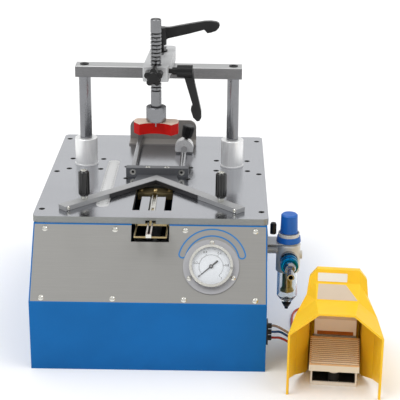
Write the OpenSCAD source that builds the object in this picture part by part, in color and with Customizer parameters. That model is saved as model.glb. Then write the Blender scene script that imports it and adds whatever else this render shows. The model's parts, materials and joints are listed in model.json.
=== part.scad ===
// Bench underpinner for picture frames: a pneumatic V-nailer with a foot pedal.
// Origin at the middle of the cabinet's base, +X right, +Y back, +Z up, millimetres.

/* [Table] */
// Width of the steel table
table_w = 380; // [340:2:440]
// From the origin forward to the table's front edge
table_front = 176; // [170:1:182]
// From the origin back to the table's rear edge
table_back = 264; // [260:1:290]
// Thickness of the table plate
table_t = 11; // [8:0.5:14]
// Height of the work surface over the floor
table_top = 231; // [226:1:250]
// Corner radius of the table plate
table_corner = 9; // [3:1:16]
// Half width of the nail opening
nail_open_hw = 32; // [31:0.5:36]
// Half width of the middle slot
nail_slot_hw = 6; // [5.5:0.1:7]
// Width of each tongue between two slots
tongue_w = 14; // [12:0.5:14]
// Front end of the slots, forward of the origin
slot_front = 143; // [138:1:148]
// Front ends of the tongues' roots, forward of the origin
tongue_root = 79; // [70:1:90]
// Rear end of the nail opening, forward of the origin
nail_open_back = 8; // [4:1:12]
// Half width of the groove for the magazine under the front edge
mag_groove_hw = 8.6; // [7:0.2:12]
// Depth of that groove
mag_groove_d = 6; // [5:0.5:7]

/* [Cabinet] */
// Width of the sheet metal cabinet
cab_w = 376; // [350:2:376]
// From the origin forward to the cabinet's upright front
cab_front = 258; // [250:1:270]
// From the origin back to the cabinet's rear
cab_back = 258; // [250:1:260]
// Height at which the upright front turns into the slope
cab_front_h = 117; // [100:1:130]
// From the origin forward to the top edge of the slope
slope_top = 177; // [177:0.5:180]
// Thickness of the cabinet sheet
sheet_t = 2; // [1.5:0.25:3]
// Width of the flange under the table, at each side
flange_w = 18; // [15:0.5:19]
// Thickness of the base plate
floor_t = 4; // [3:0.5:6]

/* [Front panel] */
// Width of the brushed panel on the slope
panel_w = 372; // [350:1:372]
// Thickness of the panel
panel_t = 2; // [1:0.25:2.5]
// Blue edge left round the panel, along the slope
panel_edge = 2; // [1.5:0.25:4]
// Half width of the magazine window
window_hw = 30.5; // [30:0.25:34]
// Length of the magazine window down the slope
window_len = 29.5; // [26:0.5:34]
// Sideways place of the gauge
gauge_x = 98.7; // [80:0.1:110]
// Place of the gauge down the slope
gauge_s = 69.3; // [60:0.1:75]
// Radius of the gauge's mounting flange
gauge_flange_r = 45; // [40:0.5:48]
// Outer radius of the gauge's bezel
bezel_r = 34.8; // [32:0.2:37]
// Height of the bezel over the panel
bezel_h = 9; // [8:0.5:14]

/* [Posts and beam] */
// Sideways place of each post
post_x = 131; // [128:0.5:134]
// Place of the posts behind the origin
post_y = 92; // [90:0.5:96]
// Radius of a post
post_r = 10.6; // [9:0.1:12]
// Outer radius of a post's sleeve
sleeve_r = 20; // [17:0.5:22]
// Height of a sleeve over the table
sleeve_h = 50; // [40:1:60]
// Height of the underside of the cross beam
beam_z = 395; // [380:1:410]
// Height of the cross beam
beam_h = 20; // [16:0.5:26]
// Depth of the cross beam, front to back
beam_d = 32; // [26:0.5:36]
// Width of the cross beam
beam_w = 292; // [286:1:304]
// Radius of a clamping cylinder's piston
piston_r = 24; // [18:0.5:27]

/* [Press arm] */
// Sideways place of the stud in the beam
stud_x = 5; // [0:0.5:10]
// Radius of the stud
stud_r = 4; // [3:0.25:4.5]
// Reach from the stud to the rod
rod_reach = 102; // [98:0.5:108]
// Turn of the arm about the stud
arm_turn = -2.5; // [-6:0.5:6]
// Width of the arm
arm_w = 43; // [38:0.5:46]
// Thickness of the arm
arm_t = 24.7; // [22:0.1:26]
// Arm behind the stud
arm_tail = 44; // [44:0.5:48]
// Arm in front of the rod's axis
arm_nose = 14.5; // [13:0.5:18]
// Width of the slot along the arm
arm_slot_w = 11; // [10:0.25:12]
// Radius of the notched rod
rod_r = 9; // [8:0.25:10]
// Height of the rod's top end
rod_top = 519; // [512:1:530]
// Distance between two notches of the rod
notch_pitch = 6.5; // [6:0.25:7.5]
// Number of notches
notch_n = 16; // [8:1:16]
// Depth of a notch
notch_d = 1.3; // [0.8:0.1:2]
// Radius of the pad holder
holder_r = 17; // [15:0.5:20]
// Height of the underside of the pressure pad
pad_z = 323; // [318:1:326]
// Thickness of the pressure pad
pad_t = 20; // [16:0.5:22]
// Half width of the pressure pad
pad_hw = 37.5; // [34:0.5:38.5]

/* [Fence] */
// From the origin forward to the inner corner of the fence
fence_corner = 15.5; // [12:0.5:18]
// Length of a wing along its front face
wing_len = 196.6; // [190:0.5:198]
// Width of a wing
wing_w = 18; // [15:0.5:20]
// Height of a wing
wing_h = 7.7; // [6:0.1:9]
// Half width of the fence block
block_hw = 54.5; // [52:0.5:58]
// Front face of the fence block behind the origin
block_y = 20; // [19:0.5:22]
// Depth of the fence block
block_d = 14; // [13:0.5:16]
// Height of the fence block
block_h = 16.7; // [16:0.1:20]
// Sideways place of the guide rods
guide_x = 42.5; // [40:0.5:44]
// Height of the guide rods' axis over the table
guide_h = 9.5; // [9.2:0.1:10.5]
// Radius of the guide rods
guide_r = 5; // [4:0.25:5]
// Rear end of the guide rods behind the origin
guide_end = 290; // [275:1:300]
// Sideways place of the two handles
handle_x = 112.5; // [100:0.5:120]
// Radius of a handle's grip
grip_r = 9.4; // [8:0.2:11]
// Length of a handle's grip
grip_h = 43; // [36:1:50]
// Front face of the rear bracket behind the origin
bracket_y = 235; // [235:0.5:238]
// Half width of the rear bracket
bracket_hw = 63; // [56:1:70]
// Height of the rear bracket over the table
bracket_h = 40; // [30:1:48]
// Thickness of the rear bracket
bracket_t = 5; // [4:0.5:6]
// Radius of the stop collar
collar_r = 17; // [14:0.5:18]
// Middle of the stop collar behind the origin
collar_y = 164; // [158:1:164]
// Length of the stop collar
collar_len = 18; // [14:0.5:18]

/* [Air unit] */
// Filter regulator's axis, out from the cabinet's side
reg_x = 38; // [36:0.5:44]
// Place of the filter regulator in front of the origin
reg_y = 126; // [110:1:140]
// Radius of the regulator's body
reg_r = 20; // [18:0.5:20]
// Height of the underside of the regulator's body
reg_z = 123; // [110:1:130]
// Height of the regulator's body
reg_h = 49.5; // [46:0.5:52]
// Radius of the adjusting knob
knob_r = 14.5; // [12:0.5:16]
// Height of the adjusting knob
knob_h = 31.6; // [24:0.2:36]
// Radius of the clear bowl
bowl_r = 17; // [15:0.5:18]
// Length of the clear bowl
bowl_h = 56; // [48:1:60]
// Wall of the clear bowl
bowl_t = 2; // [1.5:0.25:3]
// Height of the quick coupling's axis over the floor
coup_z = 150; // [142:1:154]

/* [Foot pedal] */
// Middle of the pedal's front, out from the cabinet's side
pedal_x = 106; // [100:1:122]
// Place of the pedal's base in front of the origin
pedal_y = 300.5; // [296:0.5:310]
// Turn of the pedal on the floor
pedal_turn = -5; // [-8:1:0]
// Half width of the pedal's base
pbase_hw = 36.3; // [34:0.2:38]
// Height of the base's side walls
pbase_h = 25; // [20:0.5:26]
// Wall of the pedal's guard
guard_t = 3; // [2:0.25:4]
// Half width of the guard's mouth
mouth_hw = 73; // [70:0.5:76]
// Height of the guard's mouth
mouth_h = 141; // [132:1:150]
// Diameter of the three air hoses
hose_d = 4; // [3:0.25:4]

/* [Fits] */
// Radial clearance of a running fit
fit = 0.05; // [0.02:0.01:0.1]
// Gap between faces that pass each other
gap = 0.3; // [0.2:0.05:0.4]

/* [Hidden] */
$fn = 64;

side = cab_w / 2;
table_under = table_top - table_t;
slope_run = cab_front - slope_top;
slope_rise = table_under - cab_front_h;
slope_a = atan2(slope_rise, slope_run);
slope_len = sqrt(slope_run * slope_run + slope_rise * slope_rise);
panel_len = slope_len - 2 * panel_edge;
arm_z = beam_z + beam_h + gap;
arm_top = arm_z + arm_t;
index_z = arm_z + arm_t * 0.64;
bar_z = table_top + gap;
wing_top = bar_z + wing_h;
guide_z = table_top + guide_h;
holder_z = pad_z + pad_t;
holder_h = 26.5;
notch_count = min(notch_n, 1 + floor((rod_top - 34 - holder_z - holder_h) / notch_pitch));
notch_z = rod_top - 24 - (notch_count - 1) * notch_pitch;
slot_block_l = 16;
arm_forward = 28;
arm_back = 20;
panel_screw_x = [-169.2, -56.4, 56.4, 169.2];
panel_screw_s = [9, 123];
gauge_screws_at = [[99.4, 29], [64.3, 88.7], [133.9, 87.2]];
sleeve_screw_at = [for (sx = [-1, 1]) for (dx = [-28, 28]) for (dy = [-31, 25])
    [sx * post_x + dx, post_y + dy]];
edge_screw_x = table_w / 2 - 11;
edge_screw_at = [for (sx = [-1, 1]) for (y = [236, 45, -143]) [sx * edge_screw_x, y]];
fence_screw_at = [[-54, 13], [54, 13], [-57, 75], [57, 75]];
table_screw_at = concat(sleeve_screw_at, edge_screw_at, fence_screw_at);

// ---------- helpers ----------

// A profile drawn in Y and Z, extruded along X from x0.
module yz(w, x0) { translate([x0, 0, 0]) rotate([90, 0, 90]) linear_extrude(w) children(); }

// A profile drawn in X and Z, extruded along +Y from y0.
module xz(d, y0) { translate([0, y0 + d, 0]) rotate([90, 0, 0]) linear_extrude(d) children(); }

// The sloped panel's frame: X sideways, Y up the slope from its top edge, Z outward.
module on_slope() { translate([0, -slope_top, table_under]) rotate([slope_a, 0, 0]) children(); }

// The frame of the arm: origin on the stud's axis, -Y forward to the rod.
module on_arm() { translate([stud_x, post_y, 0]) rotate([0, 0, arm_turn]) children(); }

// The frame of the pedal on the floor: origin at the middle of the base's front edge.
module on_pedal() { translate([side + pedal_x, -pedal_y, 0]) rotate([0, 0, pedal_turn]) children(); }

function ped(p) = [side + pedal_x + p[0] * cos(pedal_turn) - p[1] * sin(pedal_turn),
    -pedal_y + p[0] * sin(pedal_turn) + p[1] * cos(pedal_turn), p[2]];

module rrect(x0, y0, x1, y1, r) {
    translate([x0 + r, y0]) square([x1 - x0 - 2 * r, y1 - y0]);
    translate([x0, y0 + r]) square([x1 - x0, y1 - y0 - 2 * r]);
    for (x = [x0 + r, x1 - r]) for (y = [y0 + r, y1 - r]) translate([x, y]) circle(r);
}

// A round bar cut by flutes that run along it.
module fluted(r1, r2, h, n, fr) {
    difference() {
        cylinder(r1 = r1, r2 = r2, h = h);
        for (i = [0 : n - 1]) rotate([0, 0, (i + 0.5) * 360 / n])
            translate([r1 + fr * 0.35, 0, 2.5]) rotate([0, atan2(r2 - r1, h), 0]) cylinder(r = fr, h = h * 1.1, $fn = 24);
    }
}

// A socket head screw standing on its head's underside at the origin, shank down.
module socket_screw(head_r, head_h, shank_r, shank_l) {
    difference() {
        union() {
            cylinder(r = head_r, h = head_h);
            translate([0, 0, -shank_l]) cylinder(r = shank_r, h = shank_l + 0.01);
        }
        translate([0, 0, head_h * 0.4]) cylinder(r = head_r * 0.5, h = head_h, $fn = 6);
    }
}

// A button head screw with a domed top.
module dome_screw(head_r, head_h, shank_r, shank_l) {
    difference() {
        union() {
            rotate_extrude() intersection() {
                translate([0, head_h - head_r * 1.25]) circle(head_r * 1.25);
                square([head_r, head_h]);
            }
            translate([0, 0, -shank_l]) cylinder(r = shank_r, h = shank_l + 0.01);
        }
        translate([0, 0, head_h * 0.45]) cylinder(r = head_r * 0.45, h = head_h, $fn = 6);
    }
}

// ---------- sweeps ----------

function unit(v) = v / norm(v);
function ring_at(p, t, r, n) = let (side = unit(cross(t, [0, 0, 1])), up = cross(side, t))
    [for (k = [0 : n - 1]) p + r * (cos(k * 360 / n) * side + sin(k * 360 / n) * up)];
function tangent(path, i) = let (m = len(path) - 1)
    i == 0 ? unit(path[1] - path[0]) : i == m ? unit(path[m] - path[m - 1]) : unit(path[i + 1] - path[i - 1]);

// A closed solid through m rings of n points each.
module skin(rings) {
    n = len(rings[0]);
    m = len(rings);
    sides = [for (i = [0 : m - 2]) for (k = [0 : n - 1]) let (a = i * n + k, b = i * n + (k + 1) % n)
        each [[a, a + n, b], [b, a + n, b + n]]];
    ends = [[for (k = [0 : n - 1]) k], [for (k = [0 : n - 1]) m * n - 1 - k]];
    polyhedron(points = [for (r = rings) each r], faces = concat(sides, ends), convexity = 8);
}

// One closed tube of n sides along a path.
module sweep(path, r, n) skin([for (i = [0 : len(path) - 1]) ring_at(path[i], tangent(path, i), r, n)]);

// A smooth curve through hand-set points, k steps to a span.
function curve(p, k) = let (m = len(p) - 1) concat([for (i = [0 : m - 1]) each [for (j = [0 : k - 1])
    let (t = j / k, a = p[max(i - 1, 0)], b = p[i], c = p[i + 1], d = p[min(i + 2, m)])
    0.5 * (2 * b + (c - a) * t + (2 * a - 5 * b + 4 * c - d) * t * t + (3 * b - a - 3 * c + d) * t * t * t)]], [p[m]]);

// ---------- cabinet ----------

module cabinet_shell() color([0.13, 0.4, 0.64]) {
    k = slope_rise / slope_run;
    n_y = -sin(slope_a);
    n_z = cos(slope_a);
    rim = sheet_t + panel_t;
    in_y = -slope_top - n_y * rim;
    in_z = table_under - n_z * rim;
    top_in = table_under - sheet_t;
    difference() {
        yz(cab_w, -cab_w / 2) polygon([[-cab_front, 0], [-cab_front, cab_front_h],
            [-slope_top, table_under], [cab_back, table_under], [cab_back, 0]]);
        yz(cab_w - 2 * sheet_t, -cab_w / 2 + sheet_t) polygon([[-cab_front + sheet_t, -1],
            [-cab_front + sheet_t, in_z + (-cab_front + sheet_t - in_y) * k],
            [in_y + (top_in - in_z) / k, top_in], [cab_back - sheet_t, top_in], [cab_back - sheet_t, -1]]);
        // opening under the table, inside its flange
        translate([-cab_w / 2 + flange_w, -slope_top + 22, top_in - 1]) cube([cab_w - 2 * flange_w, slope_top + cab_back - 46, sheet_t + 2]);
        // seat of the front panel and the cut-out behind it
        on_slope() translate([-panel_w / 2, -slope_len + panel_edge, -panel_t]) cube([panel_w, panel_len, panel_t + 1]);
        on_slope() translate([-panel_w / 2 + 16, -slope_len + panel_edge + 14, -3 * rim])
            cube([panel_w - 32, panel_len - 28, 4 * rim]);
        // window, and way for the magazine through the flange at the front
        yz(2 * window_hw, -window_hw) polygon(concat([for (p = [[-window_len, rim], [-window_len, -3 * rim]])
            [-slope_top + p[0] * cos(slope_a) - p[1] * sin(slope_a), table_under + p[0] * sin(slope_a) + p[1] * cos(slope_a)]],
            [[-slope_top + 25, table_under - 30], [-slope_top + 25, table_under + 5], [-slope_top - 22, table_under + 5]]));
        // shanks of the screws
        for (p = edge_screw_at) translate([p[0], p[1], top_in - 1]) cylinder(r = 3 + fit, h = sheet_t + 2);
        on_slope() for (x = panel_screw_x) for (s = panel_screw_s) translate([x, -s, -3 * rim]) cylinder(r = 2 + fit, h = 4 * rim);
        // air port on the right side
        translate([cab_w / 2 - sheet_t - 1, -reg_y, reg_z + 38]) rotate([0, 90, 0]) cylinder(r = 6 + fit, h = sheet_t + 2);
    }
}

module base_plate() color([0.3, 0.31, 0.33])
    translate([-cab_w / 2 + sheet_t, -cab_front + sheet_t, 0])
        cube([cab_w - 2 * sheet_t, cab_front + cab_back - 2 * sheet_t, floor_t]);

module front_panel() color([0.72, 0.72, 0.72]) difference() {
    on_slope() translate([-panel_w / 2, -slope_len + panel_edge, -panel_t]) cube([panel_w, panel_len, panel_t]);
    on_slope() translate([-window_hw, -window_len, -panel_t - 1]) cube([2 * window_hw, window_len + 6, panel_t + 2]);
    on_slope() translate([gauge_x, -gauge_s, -panel_t - 1]) cylinder(r = bezel_r - 3, h = panel_t + 2);
    on_slope() for (x = panel_screw_x) for (s = panel_screw_s) translate([x, -s, -panel_t - 1]) cylinder(r = 2 + fit, h = panel_t + 2);
    on_slope() for (p = gauge_screws_at) translate([p[0], -p[1], -panel_t - 1]) cylinder(r = 2 + fit, h = panel_t + 2);
}

module panel_screws() color([0.85, 0.85, 0.86]) on_slope() {
    for (x = panel_screw_x) for (s = panel_screw_s) translate([x, -s, 0]) dome_screw(5, 2.4, 2, 8);
    for (p = gauge_screws_at) translate([p[0], -p[1], 1.6]) dome_screw(4.2, 2.2, 2, 6);
}

// ---------- table ----------

module nail_opening() {
    slot_in = nail_slot_hw + tongue_w;
    polygon([[-nail_open_hw, -slot_front], [-slot_in, -slot_front], [-slot_in, -tongue_root],
        [-nail_slot_hw, -tongue_root], [-nail_slot_hw, -slot_front], [nail_slot_hw, -slot_front],
        [nail_slot_hw, -tongue_root], [slot_in, -tongue_root], [slot_in, -slot_front],
        [nail_open_hw, -slot_front], [nail_open_hw, -nail_open_back], [-nail_open_hw, -nail_open_back]]);
}

module strip_outline(grow) translate([-82.5, 0]) rrect(-10.5 - grow, -130 - grow, 10.5 + grow, 111 + grow, 10.5 + grow);

module table_plate() color([0.74, 0.75, 0.77]) difference() {
    translate([0, 0, table_under]) linear_extrude(table_t) difference() {
        rrect(-table_w / 2, -table_front, table_w / 2, table_back, table_corner);
        nail_opening();
        for (sx = [-1, 1]) translate([sx * post_x, post_y]) circle(post_r + 1.4);
    }
    translate([-mag_groove_hw, -table_front - 1, table_under - 1]) cube([2 * mag_groove_hw, table_front - slot_front + 3, mag_groove_d + 1]);
    for (p = table_screw_at) translate([p[0], p[1], table_top - 7]) cylinder(r = 5, h = 8);
    for (p = table_screw_at) translate([p[0], p[1], table_under - 1]) cylinder(r = 3 + fit, h = table_t);
    translate([0, 0, table_top - 1]) linear_extrude(2) strip_outline(0);
}

module table_screws() color([0.12, 0.12, 0.12])
    for (p = table_screw_at) translate([p[0], p[1], table_top - 7]) socket_screw(4.6, 6, 3, 12);

module scale_strip() color([0.88, 0.88, 0.86])
    translate([0, 0, table_top - 1]) linear_extrude(1) strip_outline(-fit);

module post_sleeves() color([0.8, 0.8, 0.8]) for (sx = [-1, 1]) translate([sx * post_x, post_y, table_top]) difference() {
    union() {
        cylinder(r = sleeve_r + 1, h = 3);
        cylinder(r = sleeve_r, h = sleeve_h - 1);
        translate([0, 0, sleeve_h - 1]) cylinder(r1 = sleeve_r, r2 = sleeve_r - 1, h = 1);
    }
    translate([0, 0, -1]) cylinder(r = post_r + fit, h = sleeve_h + 2);
}

module clamp_cylinders() color([0.6, 0.61, 0.63]) for (sx = [-1, 1]) translate([sx * post_x, post_y, 0]) difference() {
    union() {
        translate([0, -3, table_under - 14]) linear_extrude(14) rrect(-37, -37, 37, 37, 8);
        translate([0, 0, 60]) cylinder(r = piston_r + 5, h = table_under - 73);
        translate([0, 0, 54]) cylinder(r = piston_r + 8, h = 14);
    }
    translate([0, 0, 66]) cylinder(r = piston_r + fit, h = table_under - 14 - 66);
    translate([0, 0, 60]) cylinder(r = post_r + fit, h = table_under);
    for (dx = [-28, 28]) for (dy = [-31, 25]) translate([dx, dy, table_under - 15]) cylinder(r = 3 + fit, h = 16);
}

// ---------- nail feed and drive ----------

bed_z = table_under - 12;
rail_z = table_under - 2;
rail_hw = 4.5;
rail_t = 6;
rail_gap = 1.8;
rail_front = table_front + 55;
head_front = 45;
head_back = 18;
blade_w = 10;
blade_y = 47;
blade_t = 2;
blade_top = bed_z + 4;

module drive_cylinder() color([0.6, 0.61, 0.63]) translate([0, -blade_y + 1, floor_t]) difference() {
    union() {
        linear_extrude(8) rrect(-42, -42, 42, 42, 8);
        cylinder(r = 34, h = 133);
        translate([0, 0, 118]) cylinder(r = 37, h = 15);
    }
    translate([0, 0, 16]) cylinder(r = 28 + fit, h = 104);
    translate([0, 0, 100]) cylinder(r = 8 + fit, h = 40);
}

module driver_blade() color([0.78, 0.78, 0.8]) translate([0, -blade_y + 1, 0]) {
    translate([0, 0, 34]) cylinder(r = 28, h = 12);
    translate([0, 0, 44]) cylinder(r = 8, h = 112);
    translate([0, 0, 150]) cylinder(r = 12, h = 18);
    translate([0, 0, 166]) linear_extrude(blade_top - 166)
        polygon([[-blade_w / 2, -1], [0, blade_w / 2 - 1], [blade_w / 2, -1], [blade_w / 2, -1 - blade_t],
            [0, blade_w / 2 - 1 - blade_t], [-blade_w / 2, -1 - blade_t]]);
}

module magazine_bed() color([0.35, 0.36, 0.38]) difference() {
    union() {
        translate([-18, -slot_front - 7, bed_z]) cube([36, slot_front - 43.3, table_under - bed_z]);
        translate([-18, -head_front - 6, bed_z]) cube([36, head_front - 6, 5]);
    }
    translate([-rail_hw, -slot_front - 8, rail_z]) cube([2 * rail_hw, slot_front, 20]);
    // the blade's slot
    translate([-blade_w / 2 - gap, -blade_y - blade_t - gap, bed_z - 1]) cube([blade_w + 2 * gap, 9.4, 30]);
    translate([-19, -blade_y - blade_t - 1.3, bed_z + 5]) cube([38, 60, 30]);
}

module magazine_rail() color([0.8, 0.78, 0.72]) difference() {
    translate([-rail_hw, -rail_front, rail_z]) cube([2 * rail_hw, rail_front - blade_y - blade_t - 1, rail_t]);
    // the slit the follower runs in
    translate([-rail_gap, -rail_front + 3, rail_z - 1]) cube([2 * rail_gap, rail_front - 103, rail_t + 2]);
    translate([-2.6, -102, rail_z + 1.5]) cube([5.2, 60, rail_t]);
}

// The follower with its wire bail, which is pulled forward to load nails.
pull_y = table_front + 42;
pull_z = table_under - 6;
module magazine_pusher() color([0.82, 0.8, 0.76]) {
    bail_l = -23;
    bail_r = 27;
    back = table_front - 12;
    wire = 1.5;
    for (x = [bail_l, bail_r]) translate([x, -pull_y, pull_z]) rotate([-90, 0, 0]) cylinder(r = wire, h = pull_y - back + 4);
    for (x = [bail_l, bail_r]) translate([x, -pull_y, pull_z]) sphere(wire);
    translate([bail_l, -pull_y, pull_z]) rotate([0, 90, 0]) cylinder(r = wire, h = bail_r - bail_l);
    translate([bail_l - 2.5, -back, pull_z - 2]) cube([bail_r - bail_l + 5, 8, 4]);
    translate([-rail_gap + gap, -back, pull_z - 1]) cube([2 * (rail_gap - gap), 8, 9.5]);
    translate([-rail_gap + gap, -back, rail_z + 1]) cube([2 * (rail_gap - gap), back - 112, 3.5]);
}

module guide_head() color([0.8, 0.8, 0.78]) difference() {
    union() {
        translate([-30, -head_front, bed_z + 5]) cube([60, head_front - head_back, 12]);
        for (x = [-25, 0, 25]) translate([x, -(head_front + head_back) / 2 + 2, bed_z + 17]) dome_screw(4.5, 3, 2, 0);
    }
    translate([0, 0, bed_z + 4]) linear_extrude(14) polygon([[0, -41.2], [-4.4, -45.6], [4.4, -45.6]]);
}

// ---------- rear bracket ----------

module rear_bracket() color([0.3, 0.31, 0.33]) difference() {
    union() {
        xz(bracket_t, bracket_y) translate([0, table_top]) {
            translate([-bracket_hw, 0]) square([2 * bracket_hw, bracket_h - 14]);
            translate([-bracket_hw + 14, 0]) square([2 * bracket_hw - 28, bracket_h]);
            for (sx = [-1, 1]) translate([sx * (bracket_hw - 14), bracket_h - 14]) circle(14);
        }
        translate([-bracket_hw, bracket_y - 32, table_top]) cube([2 * bracket_hw, 33, 3]);
    }
    for (sx = [-1, 1]) translate([sx * guide_x, bracket_y - 1, guide_z]) rotate([-90, 0, 0]) cylinder(r = guide_r + fit, h = bracket_t + 2);
}

// ---------- gauge ----------

module on_gauge() { on_slope() translate([gauge_x, -gauge_s, 0]) children(); }

module gauge_case() color([0.82, 0.82, 0.83]) on_gauge() {
    difference() {
        union() {
            translate([0, 0, -26]) cylinder(r = bezel_r - 3 - fit, h = 26.1);
            cylinder(r = gauge_flange_r, h = 1.6);
            cylinder(r = bezel_r, h = bezel_h);
        }
        translate([0, 0, 3]) cylinder(r = bezel_r - 2.8, h = bezel_h - 3.8);
        translate([0, 0, 3]) cylinder(r = bezel_r - 4.4, h = bezel_h);
        for (p = gauge_screws_at) translate([p[0] - gauge_x, gauge_s - p[1], -1]) cylinder(r = 2 + fit, h = 4);
    }
    translate([0, 0, 2.9]) cylinder(r = 1.2, h = 2.6);
}

module gauge_glass() color([0.85, 0.92, 0.95, 0.35]) on_gauge()
    translate([0, 0, bezel_h - 2.1]) cylinder(r = bezel_r - 2.85, h = 1.3);

module gauge_needle() color([0.1, 0.1, 0.1]) on_gauge() rotate([0, 0, -139]) translate([0, 0, 3.6]) difference() {
    union() {
        cylinder(r = 3.2, h = 1.6);
        linear_extrude(0.8) polygon([[-14, -1.6], [-14, 1.6], [0, 1.1], [27, 0.35], [27, -0.35], [0, -1.1]]);
    }
    translate([0, 0, -1]) cylinder(r = 1.2 + fit, h = 4);
}

// ---------- posts and beam ----------

module post(sx) translate([sx * post_x, post_y, 0]) difference() {
    union() {
        translate([0, 0, 128]) cylinder(r = post_r, h = beam_z - 128);
        translate([0, 0, 126]) cylinder(r = piston_r, h = 14);
    }
    translate([0, 0, beam_z - 20]) cylinder(r = 5 + fit, h = 21);
}
module post_left() color([0.8, 0.8, 0.82]) post(-1);
module post_right() color([0.8, 0.8, 0.82]) post(1);

module cross_beam() color([0.62, 0.62, 0.63]) difference() {
    yz(beam_w, -beam_w / 2) translate([post_y - beam_d / 2, beam_z])
        polygon([[0, 1], [1, 0], [beam_d - 1, 0], [beam_d, 1], [beam_d, beam_h - 1], [beam_d - 1, beam_h], [1, beam_h], [0, beam_h - 1]]);
    for (sx = [-1, 1]) translate([sx * post_x, post_y, beam_z - 1]) cylinder(r = 5 + fit, h = beam_h + 2);
    translate([stud_x, post_y, beam_z - 1]) cylinder(r = stud_r + fit, h = beam_h + 2);
}

module beam_screws() color([0.15, 0.15, 0.15])
    for (sx = [-1, 1]) translate([sx * post_x, post_y, beam_z + beam_h]) socket_screw(8, 5, 5, beam_h + 16);

// ---------- arm ----------

module slot_block() color([0.45, 0.45, 0.46]) on_arm() difference() {
    translate([-arm_slot_w / 2 + 0.1, -slot_block_l / 2, arm_z]) cube([arm_slot_w - 0.2, slot_block_l, arm_t - 0.5]);
    translate([0, 0, arm_z - 1]) cylinder(r = stud_r + fit, h = arm_t + 2);
}

module press_arm() color([0.78, 0.79, 0.8]) on_arm() {
    nose = -rod_reach - arm_nose;
    slot_y0 = -arm_back - slot_block_l / 2 - gap;
    slot_y1 = arm_forward + slot_block_l / 2 + gap;
    difference() {
        translate([0, 0, arm_z]) linear_extrude(arm_t) difference() {
            union() {
                rrect(-arm_w / 2, nose, arm_w / 2, nose + 40, 4);
                rrect(-arm_w / 2, nose + 10, arm_w / 2, arm_tail, 9);
            }
            translate([-arm_slot_w / 2, slot_y0]) square([arm_slot_w, slot_y1 - slot_y0]);
            translate([0, -rod_reach]) circle(rod_r + fit);
        }
        translate([0, -rod_reach, index_z]) rotate([90, 0, 0]) cylinder(r = 3 + fit, h = arm_nose + 1);
        translate([0, -rod_reach, index_z]) rotate([0, 90, 0]) cylinder(r = 4 + fit, h = arm_w);
    }
}

// Adjustable clamping lever: handle drawn in X and Z, hub on the Z axis.
module arm_lever() color([0.07, 0.07, 0.07]) translate([stud_x, post_y, 0]) {
    z = arm_top;
    translate([0, 0, beam_z + 2]) cylinder(r = stud_r, h = z + 14 - beam_z - 2);
    translate([0, 0, z + gap]) cylinder(r = 10, h = 2.6);
    translate([0, 0, z + 12]) cylinder(r = 8.5, h = 12);
    translate([0, 0, z + 22]) cylinder(r1 = 10.5, r2 = 9.5, h = 20.5);
    xz(10, -5) translate([0, z]) polygon([[0, 22.5], [10.8, 23.6], [49, 33], [74, 40], [79.6, 34], [86, 35.2],
        [94.3, 38.2], [99, 43], [101, 48], [99.8, 51.5], [95, 54], [86, 55], [75, 54.6], [49, 50], [14, 43], [0, 42.5]]);
}

module notched_rod() color([0.85, 0.85, 0.86]) on_arm() translate([0, -rod_reach, 0]) {
    neck = holder_z + 2 + 6;
    shoulder = holder_z + holder_h + gap;
    notch_w = notch_pitch * 0.42;
    rotate_extrude() polygon(concat([[0, neck], [6, neck], [6, shoulder], [rod_r, shoulder]],
        [for (i = [0 : notch_count - 1]) let (z = notch_z + i * notch_pitch)
            each [[rod_r, z - notch_w / 2], [rod_r - notch_d, z - notch_w / 2 + 0.5],
                [rod_r - notch_d, z + notch_w / 2 - 0.5], [rod_r, z + notch_w / 2]]],
        [[rod_r, rod_top - 1.5], [rod_r - 1.5, rod_top], [0, rod_top]]));
}

module pad_holder() color([0.82, 0.82, 0.83]) on_arm() translate([0, -rod_reach, holder_z]) difference() {
    union() {
        translate([0, 0, -8]) cylinder(r = 8, h = 9);
        cylinder(r = holder_r - 3, h = 2.5);
        translate([0, 0, 2]) cylinder(r = holder_r, h = holder_h - 3);
        translate([0, 0, holder_h - 1]) cylinder(r1 = holder_r, r2 = holder_r - 1, h = 1);
    }
    translate([0, 0, 7.7]) cylinder(r = 6 + fit, h = holder_h);
}

module press_pad() color([0.75, 0.1, 0.05]) on_arm() translate([0, -rod_reach, pad_z]) difference() {
    linear_extrude(pad_t) difference() {
        union() {
            polygon([[-26, -20], [-pad_hw, -6], [-pad_hw, 8], [-pad_hw + 9, 15], [pad_hw - 9, 15], [pad_hw, 8], [pad_hw, -6], [26, -20]]);
            translate([-pad_hw + 9, 6]) circle(9);
            translate([pad_hw - 9, 6]) circle(9);
        }
        translate([0, -46]) circle(38);
    }
    translate([0, 0, pad_t - 8.4]) cylinder(r = 8 + fit, h = 9);
}

// Lever that locks the rod from the side; its handle hangs down.
module rod_lever() color([0.07, 0.07, 0.07]) on_arm() translate([0, -rod_reach, index_z]) {
    side = arm_w / 2;
    rotate([0, 90, 0]) translate([0, 0, rod_r + gap]) cylinder(r = 4, h = side + 8 - rod_r - gap);
    rotate([0, 90, 0]) translate([0, 0, side + 6]) cylinder(r = 6.5, h = 9);
    rotate([0, 90, 0]) translate([0, 0, side + 14]) cylinder(r1 = 10.5, r2 = 11, h = 26);
    xz(10, -5) translate([side - 21.5, 0]) polygon([[46, -4], [50, -17], [62, -57], [59.4, -60.5], [58.9, -66], [63, -79],
        [69.5, -85.5], [74, -84.5], [76.8, -79], [76.4, -67], [73.8, -56], [65, -17], [61.5, 0]]);
}

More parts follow.
